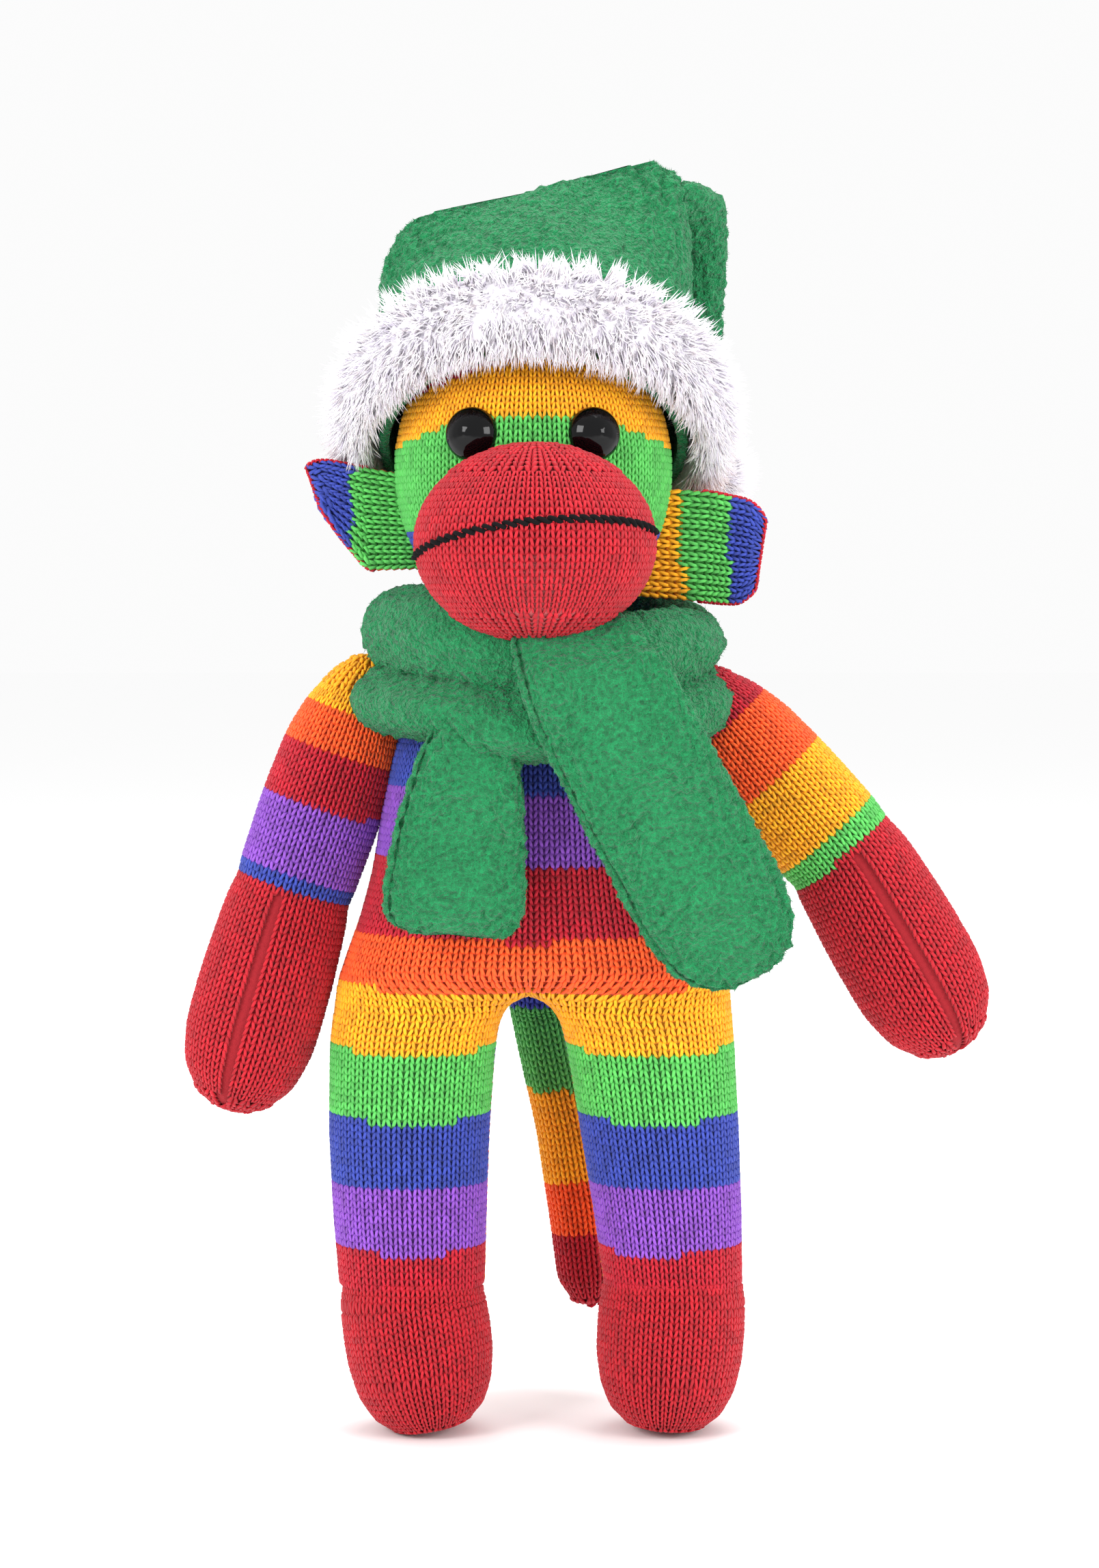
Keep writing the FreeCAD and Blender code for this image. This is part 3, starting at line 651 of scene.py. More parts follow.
FOOT_PROFILE = [(0, 0.4, 0.4), (0.0, 4.4, 7.0), (0.7, 8.0, 10.8), (3.4, 11.0, 13.4), (8, 13.2, 15.4),
                (14, 14.4, 16.2), (20, 14.6, 16.2), (25, 14.4, 15.2), (29, 13.9, 13.8), (31.2, 12.6, 12.2)]
SOLE_LIFT = 1.3  # raises the skin so that the strands of its sole reach down to the floor
for side, middle, turn_in in (("left", -24.8, 4.2), ("right", 28.6, -1.8)):
    toe, instep = middle + turn_in, middle + turn_in * 0.5
    foot_line = [(toe, -2.5, 0.0), (instep, -2.0, 12), (middle, -0.6, 26), (middle, 0, 32)]
    profile = [(s + SOLE_LIFT, w, d) for s, w, d in FOOT_PROFILE]
    shape = tube(foot_line, profile)
    piece = knit(f"{side}_foot_stitches", [(shape, 46, 30, plain("red"), always)])
    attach(piece, f"{side}_leg")
    skin = skin_of(f"{side}_foot_skin_under", tube(foot_line, under(profile)), 48, 40, plain("red"))
    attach(skin, f"{side}_leg")
    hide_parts(f"{side}_foot_skin")

# ---- Arms --------------------------------------------------------------------------------------
# Each arm is one stuffed tube of the striped knit with a red hand, sewn to the side of the body at
# the shoulder. A seam of the same red yarn runs down the front of the hand.
# place of the shoulder, slant of the upper arm and slant of the forearm
SHOULDERS = {"left": (-36.2, 0, 148.6, 19.4, 16.4), "right": (36.4, 0, 148.0, 43.0, 30.5)}
ARM_PROFILE = [(-11, 0.4, 0.4), (-10, 3.2, 3.4), (-6, 6.6, 6.8), (1, 9.8, 9.6), (9, 11.5, 10.8),
               (22, 12.0, 11.0), (36, 11.7, 10.8), (39.5, 11.3, 10.4), (44, 12.2, 10.8), (58, 13.0, 11.2),
               (71, 13.0, 11.0), (79, 11.2, 9.8), (84, 7.4, 6.6), (86, 3.4, 3.2), (86.6, 0.4, 0.4)]
ARM_ROOT = -14  # the arm's line starts this far inside the body
ARM_STRIPES = {
    "left": ([1, 10, 21, 36, 39.5], ["yellow", "orange", "crimson", "purple", "blue", "red"]),
    "right": ([4, 18.6, 34.5, 39.5], ["crimson", "orange", "yellow", "green", "red"]),
}
for side, (x0, y0, z0, upper, lower) in SHOULDERS.items():
    sign = -1 if side == "left" else 1
    spots, here = [], np.array([x0, y0, z0], float)
    for distance in range(ARM_ROOT, 87, 2):
        blend_in = min(max((distance - 30) / 18, 0), 1)
        slant = math.radians(upper + (lower - upper) * blend_in * blend_in * (3 - 2 * blend_in))
        step = 2 * np.array([sign * math.sin(slant), 0, -math.cos(slant)])
        if distance == ARM_ROOT:
            here = here + ARM_ROOT // 2 * step
        spots.append(here.copy())
        here = here + step
    profile = [(s - ARM_ROOT, w, d) for s, w, d in ARM_PROFILE]
    shape = tube(spots, profile)
    mean_slant = math.radians(upper - 1.5)
    aim_down = np.array([sign * math.sin(mean_slant), 0, -math.cos(mean_slant)])
    bands = stripes(np.array(ARM_STRIPES[side][0]) * MM, ARM_STRIPES[side][1])
    shoulder = np.array([x0, y0, z0]) * MM

    def arm_colour(p, u=None, t=None, bands=bands, shoulder=shoulder, aim_down=aim_down):
        return bands((p - shoulder) @ aim_down)

    seam_at = 0.25 - sign * 0.035

    def off_seam(p, u, t, seam_at=seam_at, shoulder=shoulder, aim_down=aim_down):
        on_hand = (p - shoulder) @ aim_down > 40 * MM
        return ~(on_hand & (np.abs(u - seam_at) < 0.0132))

    piece = knit(f"{side}_arm_stitches", [(shape, 38, 74, arm_colour, off_seam)])
    joint = bending(shoulder - aim_down * 6 * MM, shoulder + aim_down * 9 * MM)
    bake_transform(piece, "torso", f"{side}_arm", **joint)
    skin = skin_of(f"{side}_arm_skin", tube(spots, under(profile)), 40, 80, arm_colour)
    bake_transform(skin, "torso", f"{side}_arm", **joint)
    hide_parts(f"{side}_arm_sleeve", f"{side}_hand_skin", f"{side}_arm_stuffing")

# ---- Head and muzzle ---------------------------------------------------------------------------
# The head is a stuffed ball of striped knit. The muzzle is a red stuffed cup sewn over its lower
# half; its stitches are stretched, so the white filling shows between them.
def ball_profile(radius, half_height, steps=14):
    angles = np.radians(np.linspace(-89, 89, steps))
    wide, deep = radius
    return [(half_height * (1 + math.sin(a)), wide * math.cos(a), deep * math.cos(a)) for a in angles]


def ball(middle, size, inset=0.0):
    """A stuffed ball of half sizes (width, depth, height), or the skin that lies inset under it."""
    x, y, z = middle
    line = [(x, y, z - size[2]), (x, y, z + size[2])]
    return tube(line, ball_profile((size[0] - inset, size[1] - inset), size[2]))


HEAD = (0, 0, 197)
HEAD_SIZE = (27.9, 27.9, 32.2)
SKIN_INSET = 0.5


def head_colour(p, u=None, t=None):
    x, z = p[:, 0] / MM, p[:, 2] / MM
    arch = z + 0.0075 * x * x
    names = np.where(arch < 207, "green", np.where(arch - 0.16 * x < 219, "yellow", "crimson"))
    return np.where(z < 184, "blue", names)


head_shape = ball(HEAD, HEAD_SIZE)
for word, facing in (("front", -1), ("back", 1)):
    def half(p, u, t, facing=facing):
        return p[:, 1] * facing > 0
    piece = knit(f"head_{word}_stitches", [(head_shape, 90, 66, head_colour, half)])
    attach(piece, "head")
skin = skin_of("head_skin", ball(HEAD, HEAD_SIZE, SKIN_INSET), 64, 48, head_colour)
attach(skin, "head")
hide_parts("head_front_panel", "head_back_panel", "head_stuffing")

MUZZLE = (0.5, -33.4, 181.8)
MUZZLE_SIZE = (23.4, 20.4, 19.3)
PALE_BELOW = 179 * MM  # the stitches are stretched most below this height
muzzle_shape = ball(MUZZLE, MUZZLE_SIZE)


def outside_head(p, u, t):
    return np.linalg.norm((p / MM - np.array(HEAD)) / (np.array(HEAD_SIZE) - 0.8), axis=1) > 1


piece = knit("muzzle_stitches", [(muzzle_shape, 74, 45, plain("red"), outside_head)])
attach(piece, "head")
muzzle_under = ball(MUZZLE, MUZZLE_SIZE, SKIN_INSET)
filling_seen = Shader("red_knit_over_filling", linear(232, 120, 122), Roughness=0.95)
filling_seen.bump(filling_seen.noise(800.0, 4.0), 0.9, 0.0006)
around_u, around_t = np.meshgrid(np.arange(64) / 64, np.linspace(0, 1, 44))
skin = closed_grid(
    "muzzle_skin_under", muzzle_under(around_u, around_t), [shaded_backing_materials[-1], filling_seen.material],
    lambda m: (m[:, 2] < PALE_BELOW).astype(int),
)
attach(skin, "head")
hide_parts("muzzle_skin", "muzzle_stuffing")

# ---- Mouth -------------------------------------------------------------------------------------
# Two strands of black yarn twisted together and sewn across the muzzle, rising in the middle.
MOUTH_HEIGHT, MOUTH_RISE, MOUTH_SLOPE = 172.2, 0.1, 0.25
MOUTH_REACH = 1.42  # angle round the muzzle to either side
STRAND = 0.52 * MM
TWIST = 4.2 * MM  # length of one turn of the twisted yarn
turns = np.linspace(-MOUTH_REACH, MOUTH_REACH, 200)
lift = np.zeros_like(turns)
for settling in range(20):
    x = MUZZLE[0] + MUZZLE_SIZE[0] * np.cos(lift) * np.sin(turns)
    y = MUZZLE[1] - MUZZLE_SIZE[1] * np.cos(lift) * np.cos(turns)
    wanted = MOUTH_HEIGHT + MOUTH_RISE * x - MOUTH_SLOPE * y
    lift = np.arcsin(np.clip((wanted - MUZZLE[2]) / MUZZLE_SIZE[2], -1, 1))
mouth_line = np.stack([x, y, wanted], 1) * MM
mouth_out = unit((mouth_line / MM - np.array(MUZZLE)) / np.array(MUZZLE_SIZE) ** 2)
black_yarn = Shader("black_yarn", linear(9, 8, 10), Roughness=0.9, Specular_IOR_Level=0.2)
black_yarn.bump(black_yarn.noise(2200.0, 3.0), 0.5, 0.0002)
ahead = unit(np.gradient(mouth_line, axis=0))
mouth_side = np.cross(ahead, mouth_out)
corner = (np.arange(7) / 7 * 2 * math.pi)[None, :, None]
ring = mouth_out[:, None] * np.cos(corner) + mouth_side[:, None] * np.sin(corner)
mouth_run = np.concatenate([[0], np.cumsum(np.linalg.norm(np.diff(mouth_line, axis=0), axis=1))])
for strand in (0, 1):
    twist = (mouth_run / TWIST * 2 * math.pi + strand * math.pi)[:, None]
    middle = mouth_line + mouth_out * 0.25 * MM
    middle = middle + (mouth_out * np.cos(twist) + mouth_side * np.sin(twist)) * STRAND * 0.85
    piece = closed_grid(f"mouth_strand_{strand}", middle[:, None] + ring * STRAND, [black_yarn.material])
    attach(piece, "head")
    if strand == 0:
        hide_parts("mouth_yarn")

# ---- Eyes --------------------------------------------------------------------------------------
# Glossy black safety eyes: a domed button on a stem pushed through the knit to a washer inside.
eye_gloss = Shader("black_eye", (0.001, 0.001, 0.0014), Roughness=0.06, Specular_IOR_Level=0.22)
EYE_FROM_MIDDLE, EYE_HEIGHT = 12.0, 203.3
EYE_SEAT = 27.6  # distance of the eye's seat from the head's upright line
# height over the seat, radius
EYE_DOME = [(-1.0, 4.0), (-0.6, 5.0), (0.1, 5.4), (1.0, 5.25), (2.0, 4.7), (3.0, 3.7), (3.7, 2.6),
            (4.2, 1.3), (4.4, 0.25)]
for side, x in (("left", -EYE_FROM_MIDDLE), ("right", EYE_FROM_MIDDLE)):
    spot = np.array([x, -math.sqrt(EYE_SEAT ** 2 - x * x), EYE_HEIGHT])
    facing_out = unit(np.array([x * 0.8, spot[1], 2.0]))
    path = [tuple(spot - facing_out * 2), tuple(spot + facing_out * 6)]
    shape = tube(path, [(h + 2, r, r) for h, r in EYE_DOME])
    eye_u, eye_t = np.meshgrid(np.arange(48) / 48, np.linspace(0, 1, 26))
    piece = closed_grid(f"{side}_eye_dome", shape(eye_u, eye_t), [eye_gloss.material])
    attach(piece, "head")
    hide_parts(f"{side}_eye")

# ---- Ears --------------------------------------------------------------------------------------
# Two small layers of the striped knit each, sewn together round the edge with red thread; the wales
# run outwards from the head. The left ear is cut to a slant, the right one nearly square.
EARS = {
    "left": {
        "top": [(-21.0, 195.0), (-35.0, 197.5), (-46.6, 199.6)],
        "bottom": [(-21.0, 177.2), (-33.5, 176.8), (-42.5, 187.5)],
        "front": ([37.0], ["green", "blue"]), "back": ([36.0], ["orange", "red"]),
    },
    "right": {
        "top": [(20.0, 193.6), (36.0, 192.4), (47.6, 190.0)],
        "bottom": [(20.0, 171.6), (35.0, 170.4), (44.6, 169.6)],
        "front": ([30.5, 40.0], ["yellow", "green", "blue"]), "back": ([38.0], ["orange", "yellow"]),
    },
}
EAR_CORNER = 0.78  # share of the ear's length where its outer corners start to round off
EAR_LIP, EAR_PUFF = 0.4, 1.7  # half thickness at the edge, and what the filling adds in the middle
EAR_CURL = 1.3  # how far the edges curl forwards
EAR_WALES, EAR_COURSES = 10, 16
for side, ear in EARS.items():
    top_line, bottom_line = (np.array(ear[k]) for k in ("top", "bottom"))
    outward_sign = -1 if side == "left" else 1

    def layer(facing, lift=0.0, top_line=top_line, bottom_line=bottom_line, outward_sign=outward_sign):
        """One layer of the ear: t runs outwards and u across it, puffed out by a little filling."""
        def surface(u, t):
            t = np.clip(np.asarray(t), 0, 1)
            upper = along_curve(np.linspace(0, 1, 3), top_line, t)
            lower = along_curve(np.linspace(0, 1, 3), bottom_line, t)
            v = np.asarray(u) if facing * outward_sign > 0 else 1 - np.asarray(u)
            round_off = 1 - 0.30 * np.clip((t - EAR_CORNER) / (1 - EAR_CORNER), 0, 1) ** 2.2
            across = 0.5 + (v - 0.5) * round_off
            flat = lower + (upper - lower) * across[..., None]
            w = 2 * v - 1
            fullness = np.sqrt(np.clip(1 - w ** 4, 0, 1)) * np.sqrt(np.clip(1 - t ** 8, 0, 1))
            y = facing * (EAR_LIP + EAR_PUFF * fullness + lift) - EAR_CURL * w ** 2
            return np.stack([flat[..., 0], y, flat[..., 1]], -1) * MM
        return surface

    def dye(kind, ear=ear):
        bands = stripes(np.array(ear[kind][0]) * MM, ear[kind][1])
        return lambda p, u=None, t=None: bands(np.abs(p[:, 0]))

    root_x, root_z = (top_line[0] + bottom_line[0]) / 2
    fold_from, fold_to = (np.array([outward_sign * x, 0, root_z]) * MM for x in (27.5, 33.0))
    fold = bending(fold_from, fold_to)
    layers = ((-1, "front"), (1, "back"))
    patches = [(layer(facing), EAR_WALES, EAR_COURSES, dye(word), always) for facing, word in layers]
    piece = knit(f"{side}_ear_stitches", patches)
    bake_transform(piece, "head", f"{side}_ear", **fold)
    ear_u, ear_t = np.meshgrid(np.linspace(0.02, 0.98, 16), np.linspace(0, 1, 22))
    halves = np.concatenate([layer(-1, -0.45)(ear_u, ear_t), layer(1, -0.45)(ear_u, ear_t)], axis=1)

    def both(middles, dyes=(dye("front"), dye("back"))):
        picks = zip(dyes[0](middles), dyes[1](middles), middles[:, 1])
        return [YARN_NAMES.index(f if y < -0.2 * MM else b) for f, b, y in picks]

    skin = closed_grid(f"{side}_ear_skin", halves, shaded_backing_materials, both)
    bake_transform(skin, "head", f"{side}_ear", **fold)
    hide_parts(f"{side}_ear_front", f"{side}_ear_back", f"{side}_ear_topstitch")
    edge_t = np.concatenate([np.linspace(0.45, 1, 12), np.ones(10), np.linspace(1, 0.45, 12)])
    edge_u = np.concatenate([np.ones(12), np.linspace(1, 0, 12)[1:-1], np.zeros(12)])
    edge_line = (layer(-1)(edge_u, edge_t) + layer(1)(1 - edge_u, edge_t)) / 2

    def edging(u, t, edge_line=edge_line):
        at = along_curve(np.linspace(0, 1, len(edge_line)), edge_line, np.asarray(t))
        return at + np.array([0, 1.0, 0]) * ((np.asarray(u) - 0.5) * 2.6 * MM)[..., None]

    piece = knit(f"{side}_ear_edging", [(edging, 1, 40, plain("crimson"), always)])
    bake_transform(piece, "head", f"{side}_ear", **fold)

# ---- Tail --------------------------------------------------------------------------------------
# A thin stuffed tube of the striped knit sewn to the back, hanging down between the legs.
TAIL_LINE = [(1, 20, 96), (0.8, 28.5, 92), (1.5, 32, 84), (4, 33, 72), (7.2, 34, 58), (10.2, 35.2, 40),
             (12.2, 36, 20)]
TAIL_PROFILE = [(0, 3, 3), (6, 5.6, 5.4), (14, 6.2, 6.0), (40, 6.2, 6.0), (62, 6.6, 6.2), (78, 6.2, 5.8),
                (83, 3.8, 3.6), (84.6, 0.4, 0.4)]
tail_stripes = stripes(np.array([35, 46, 66, 84]) * MM, ["crimson", "orange", "yellow", "green", "blue"])


def tail_dye(p, u=None, t=None):
    return tail_stripes(p[:, 2])


tail_bend = bending((0.001, 0.026, 0.094), (0.0012, 0.031, 0.086))
tail_shape = tube(TAIL_LINE, TAIL_PROFILE)
piece = knit("tail_stitches", [(tail_shape, 20, 60, tail_dye, always)])
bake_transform(piece, "torso", "tail", **tail_bend)
skin = skin_of("tail_skin_under", tube(TAIL_LINE, under(TAIL_PROFILE, 0.4)), 24, 60, tail_dye)
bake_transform(skin, "torso", "tail", **tail_bend)
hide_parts("tail_skin", "tail_tip_skin", "tail_stuffing")

# ---- Hat ---------------------------------------------------------------------------------------
# A tapering tube of green fleece, sewn flat across the top, that is pulled over the back of the head.
# Fleece is brushed into small pebbles of fibre and has a short fuzz on its surface.
GREEN = linear(6, 128, 72)
green_cloth = Shader("green_fleece", GREEN, Roughness=0.95, Sheen_Weight=0.12, Sheen_Roughness=0.5)
pebbles = green_cloth.noise(1000.0, 2.0, 0.55)
tufts = green_cloth.noise(2100.0, 2.0, 0.6)
# The green follows the same noise as the bump, darker in the hollows and lighter on the tops of the pebbles:
# painted shade and painted highlight.
shaded_green = tuple(0.6 * c for c in GREEN)
lit_green = tuple(min(1.3 * c + 0.002, 1) for c in GREEN)
pebble_shading = green_cloth.node(
    "Mix", {"data_type": "RGBA"}, out="Result",
    Factor=pebbles * 2.4 - 0.7, A=(*shaded_green, 1), B=(*lit_green, 1),
)
green_cloth.feed("Base Color", pebble_shading)
green_cloth.bump(pebbles + tufts * 0.3, 1.0, 0.002)
green_fleece = green_cloth.material
PEBBLE, PEBBLE_SIZE = 0.36 * MM, 2.3 * MM  # height and width of the lumps that the fibres make
fleece_fuzz = [
    Shader("fleece_fuzz", linear(16, 138, 82), Roughness=0.95).material,
    Shader("fleece_fuzz_deep", linear(8, 108, 62), Roughness=0.95).material,
]


def wobble(p, size, seed, waves=16):
    """A soft random field of about -1 to 1 that changes over the given size."""
    dice = np.random.default_rng(seed)
    heading = unit(dice.normal(size=(waves, 3)))
    phase = dice.uniform(0, 2 * math.pi, waves)
    pace = dice.uniform(0.75, 1.4, waves)
    turns = np.asarray(p) @ (heading * pace[:, None]).T / size * 2 * math.pi
    return np.sin(turns + phase).sum(axis=-1) / math.sqrt(waves / 2) / 1.5


def grid_normals(grid, loop=False):
    """Normals of a grid of points whose rows run round a tube."""
    around = np.roll(grid, -1, axis=1) - np.roll(grid, 1, axis=1)
    along = np.roll(grid, -1, axis=0) - np.roll(grid, 1, axis=0)
    if not loop:
        along[0], along[-1] = grid[1] - grid[0], grid[-1] - grid[-2]
    return unit(np.cross(around, along))


def fluffy(grid, amount, size, seed, loop=False):
    """The grid with soft lumps on its surface."""
    lumps = wobble(grid, size, seed) * amount + wobble(grid, size * 0.45, seed + 1) * amount * 0.4
    return grid + grid_normals(grid, loop) * lumps[..., None]


def hair_mesh(name, segments, sides=3):
    """One tapered hair along +Z, a unit long and a unit wide."""
    points, faces = [], []
    for k in range(segments):
        share = k / segments
        radius = 0.5 * (1 - 0.75 * share ** 1.5)
        for corner in range(sides):
            a = corner / sides * 2 * math.pi
            points.append((radius * math.cos(a), radius * math.sin(a), share))
    points.append((0, 0, 1))
    for k in range(segments - 1):
        for c in range(sides):
            a, b = k * sides + c, k * sides + (c + 1) % sides
            faces.append((a, b, b + sides, a + sides))
    last = (segments - 1) * sides
    for c in range(sides):
        faces.append((last + c, last + (c + 1) % sides, len(points) - 1))
    faces.append(tuple(reversed(range(sides))))
    mesh = bpy.data.meshes.new(name)
    mesh.from_pydata(points, [], faces)
    form = bpy.data.objects.new(name, mesh)
    bpy.context.collection.objects.link(form)
    return form


fuzz_form = hair_mesh("fuzz_form", 1)
fuzzing = planting("fuzzing", fleece_fuzz)


FUZZ_THICK = 0.16 * MM
FUZZ_SUNK = 0.15 * MM


def fuzz(name, grid, count, seed, loop=False):
    """Short fibres standing on a grid of points, more or less upright."""
    dice = np.random.default_rng(seed)
    n, m = grid.shape[:2]
    normals = grid_normals(grid, loop)
    r, c = dice.integers(0, n - 1, count), dice.integers(0, m, count)
    share = dice.uniform(size=(count, 1))
    place = grid[r, c] * (1 - share) + grid[r + 1, (c + 1) % m] * share
    lean = unit(normals[r, c] + dice.normal(0, 0.55, (count, 3)))
    tall = dice.uniform(0.5, 1.0, count) * MM
    thick = np.full(count, FUZZ_THICK)
    data = {
        "place": place - lean * FUZZ_SUNK, "out": lean, "along": unit(dice.normal(size=(count, 3))),
        "size": np.stack([thick, thick, tall], 1),
        "kind": dice.integers(0, 2, count),
    }
    return planted(name, fuzzing, fuzz_form, fleece_fuzz, data)


# centre, half width, half depth, lean of the width to the right, lean of the depth to the front
CROWN = np.array([
    (0, 1.4, 201.6, 31.2, 31.2, 0, 35), (0, 5.4, 207.3, 31.6, 31.6, 0, 35), (0, 9.4, 213, 32, 30.6, 0, 33),
    (0, 11.2, 222, 32.0, 26, 2, 22), (0.2, 13, 234, 32.4, 18.5, 6, 10), (0, 14.5, 244, 32.4, 12, 11, 3),
    (0, 15, 249.5, 31.4, 7.6, 13.5, 0), (0, 15, 253.4, 28.6, 4.0, 13.5, 0),
    (0, 15, 255.2, 25.5, 1.2, 13.5, 0),
], float)
FLEECE_THICK = 1.8
HAT_AROUND = 220  # points round the crown
# place, lean, width and depth of the creases near the top
CREASES = ((22.0, -7.0, 1.5, 1.3), (27.0, -2.0, 1.3, 1.1), (14.5, -16.0, 2.0, 0.8))


def crown(u, t, inset=0.0):
    line = along_curve(np.arange(len(CROWN)), CROWN, np.asarray(t) * (len(CROWN) - 1))
    place, wide, deep = line[..., :3], line[..., 3], line[..., 4]
    roll, pitch = np.radians(line[..., 5]), np.radians(line[..., 6])
    zero = np.zeros_like(roll)
    across = np.stack([np.cos(roll), zero, np.sin(roll)], -1)
    back = np.stack([zero, np.cos(pitch), -np.sin(pitch)], -1)
    a = np.asarray(u) * 2 * math.pi
    soft = 1 - 0.22 * np.clip(np.asarray(t) * 1.6 - 0.6, 0, 1)
    cos = np.sign(np.cos(a)) * np.abs(np.cos(a)) ** soft
    sin = np.sign(np.sin(a)) * np.abs(np.sin(a)) ** soft
    wide, deep = np.maximum(wide - inset, 0.3), np.maximum(deep - inset, 0.25)
    return (place + across * (wide * cos)[..., None] + back * (deep * sin)[..., None]) * MM


crown_u, crown_t = np.meshgrid(np.arange(HAT_AROUND) / HAT_AROUND, np.linspace(0, 1, 96))
outer = crown(crown_u, crown_t)
crease_x = outer[..., 0] / MM
near_top = np.clip((outer[..., 2] / MM - 226) / 26, 0, 1)
creases = sum(
    depth * np.exp(-((crease_x - (at + lean * (1 - near_top))) / wide) ** 2)
    for at, lean, wide, depth in CREASES
)
outer = outer - grid_normals(outer) * (creases * near_top)[..., None] * MM
sag = wobble(outer * np.array([1, 1, 0.5]), 26 * MM, 5) * 0.9 * MM * np.clip(crown_t * 3, 0, 1)
outer = fluffy(outer + grid_normals(outer) * sag[..., None], PEBBLE, PEBBLE_SIZE, 11)
inner_t = np.linspace(0.985, 0, 24)
inner = crown(*np.meshgrid(np.arange(HAT_AROUND) / HAT_AROUND, inner_t), inset=FLEECE_THICK)
inner[..., 2] -= 0.6 * MM * inner_t[:, None]
piece = closed_grid("hat_crown", np.concatenate([inner, outer]), [green_fleece])
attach(piece, "hat")
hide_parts("hat_front_panel", "hat_back_panel")
piece = fuzz("hat_crown_fuzz", outer, 9000, 21)
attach(piece, "hat")

# ---- Hat tip -----------------------------------------------------------------------------------
# The narrow end of the hat: it leaves the crown's right-hand corner, folds over and hangs behind.
TIP_LINE = [(18, 16, 249), (27, 19, 253.5), (33, 23, 251.5), (34.5, 28.5, 244), (34.8, 32.5, 232),
            (35.8, 36.0, 219), (37.0, 38.8, 207)]
TIP_PROFILE = [(0, 4.4, 2.6), (6, 7.4, 3.2), (14, 8.2, 3.8), (24, 6.6, 3.9), (38, 5.4, 3.6), (50, 4.2, 3.0),
               (57, 3.0, 2.4), (60, 0.6, 0.6)]
tip_u, tip_t = np.meshgrid(np.arange(72) / 72, np.linspace(0, 1, 80))
tip_grid = fluffy(tube(TIP_LINE, TIP_PROFILE)(tip_u, tip_t), PEBBLE, PEBBLE_SIZE, 31)
tip_bend = bending((0.031, 0.021, 0.2525), (0.0345, 0.0285, 0.244))
piece = closed_grid("hat_tip_fleece", tip_grid, [green_fleece])
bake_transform(piece, "hat", "hat_tip", **tip_bend)
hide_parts("hat_tip")
piece = fuzz("hat_tip_fuzz", tip_grid, 2500, 22)
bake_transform(piece, "hat", "hat_tip", **tip_bend)

# ---- Fur trim and pompom -----------------------------------------------------------------------
# A wide band of long white faux fur round the rim and a ball of the same fur at the tip. The hairs
# stand in small tufts on a knitted backing; the trim is combed downwards.
white_fur = Shader("white_fur", linear(250, 247, 253), Roughness=0.9)
white_fur.bump(white_fur.noise(900.0, 3.0), 0.8, 0.0008)
# The second hair colour, a greyer lilac white, is painted shade among the hairs; each hair gets its colour
# at random.
hair_materials = [
    Shader("fur_hair", linear(254, 252, 255), Roughness=0.6).material,
    Shader("fur_hair_painted_shade", linear(247, 242, 253), Roughness=0.6).material,
    Shader("fur_hair_warm", linear(252, 244, 246), Roughness=0.6).material,
]
hair_form = hair_mesh("hair_form", 2)
furring = planting("furring", hair_materials)
RIM_AT = np.array([0, 5.4, 207.3])
RIM_TILT = math.radians(35)
RIM_UP = np.array([0, math.sin(RIM_TILT), math.cos(RIM_TILT)])
RIM_BACK = np.array([0, math.cos(RIM_TILT), -math.sin(RIM_TILT)])
RIM_REACH = 36.0
TRIM_HAIRS, TRIM_TUFTS = 10500, 900  # on each half of the trim


def trim_surface(u, t, thick=3.6, tall=8.8):
    """The trim's backing: u runs round the rim and t round its section."""
    a, b = np.asarray(u) * 2 * math.pi, np.asarray(t) * 2 * math.pi
    way = np.cos(a)[..., None] * np.array([1.0, 0, 0]) + np.sin(a)[..., None] * RIM_BACK
    reach = RIM_REACH + thick * np.cos(b)
    return (RIM_AT + way * reach[..., None] + RIM_UP * (tall * np.sin(b))[..., None]) * MM


def fur(name, place, out, comb, length, clumps, seed, width=0.34):
    """Hairs on a surface: each leans along its comb and towards the middle of its tuft."""
    dice = np.random.default_rng(seed)
    count = len(place)
    heads = dice.choice(count, clumps, replace=False)
    tuft_of = np.empty(count, int)
    for first in range(0, count, 2000):
        part = place[first:first + 2000]
        tuft_of[first:first + 2000] = ((part[:, None] - place[heads][None]) ** 2).sum(-1).argmin(1)
    tuft_way = unit(out[heads] + comb[heads] + dice.normal(0, 0.16, (clumps, 3)))
    tuft_tip = place[heads] + tuft_way * (length * dice.uniform(0.8, 1.15, clumps))[:, None] * MM
    spread = dice.normal(0, 1.15 * MM, (count, 3))
    way = unit(tuft_tip[tuft_of] + spread - place)
    stray = dice.uniform(size=count) < 0.06
    way[stray] = unit(out + comb * 0.4 + dice.normal(0, 0.45, (count, 3)))[stray]
    tall = length * dice.uniform(0.6, 1.05, count) * MM
    data = {
        "place": place - out * 0.4 * MM, "out": way, "along": unit(dice.normal(size=(count, 3))),
        "size": np.stack([np.full(count, width * MM), np.full(count, width * MM), tall], 1),
        "kind": dice.choice([0, 0, 0, 1, 1, 2], count),
    }
    return planted(name, furring, hair_form, hair_materials, data)


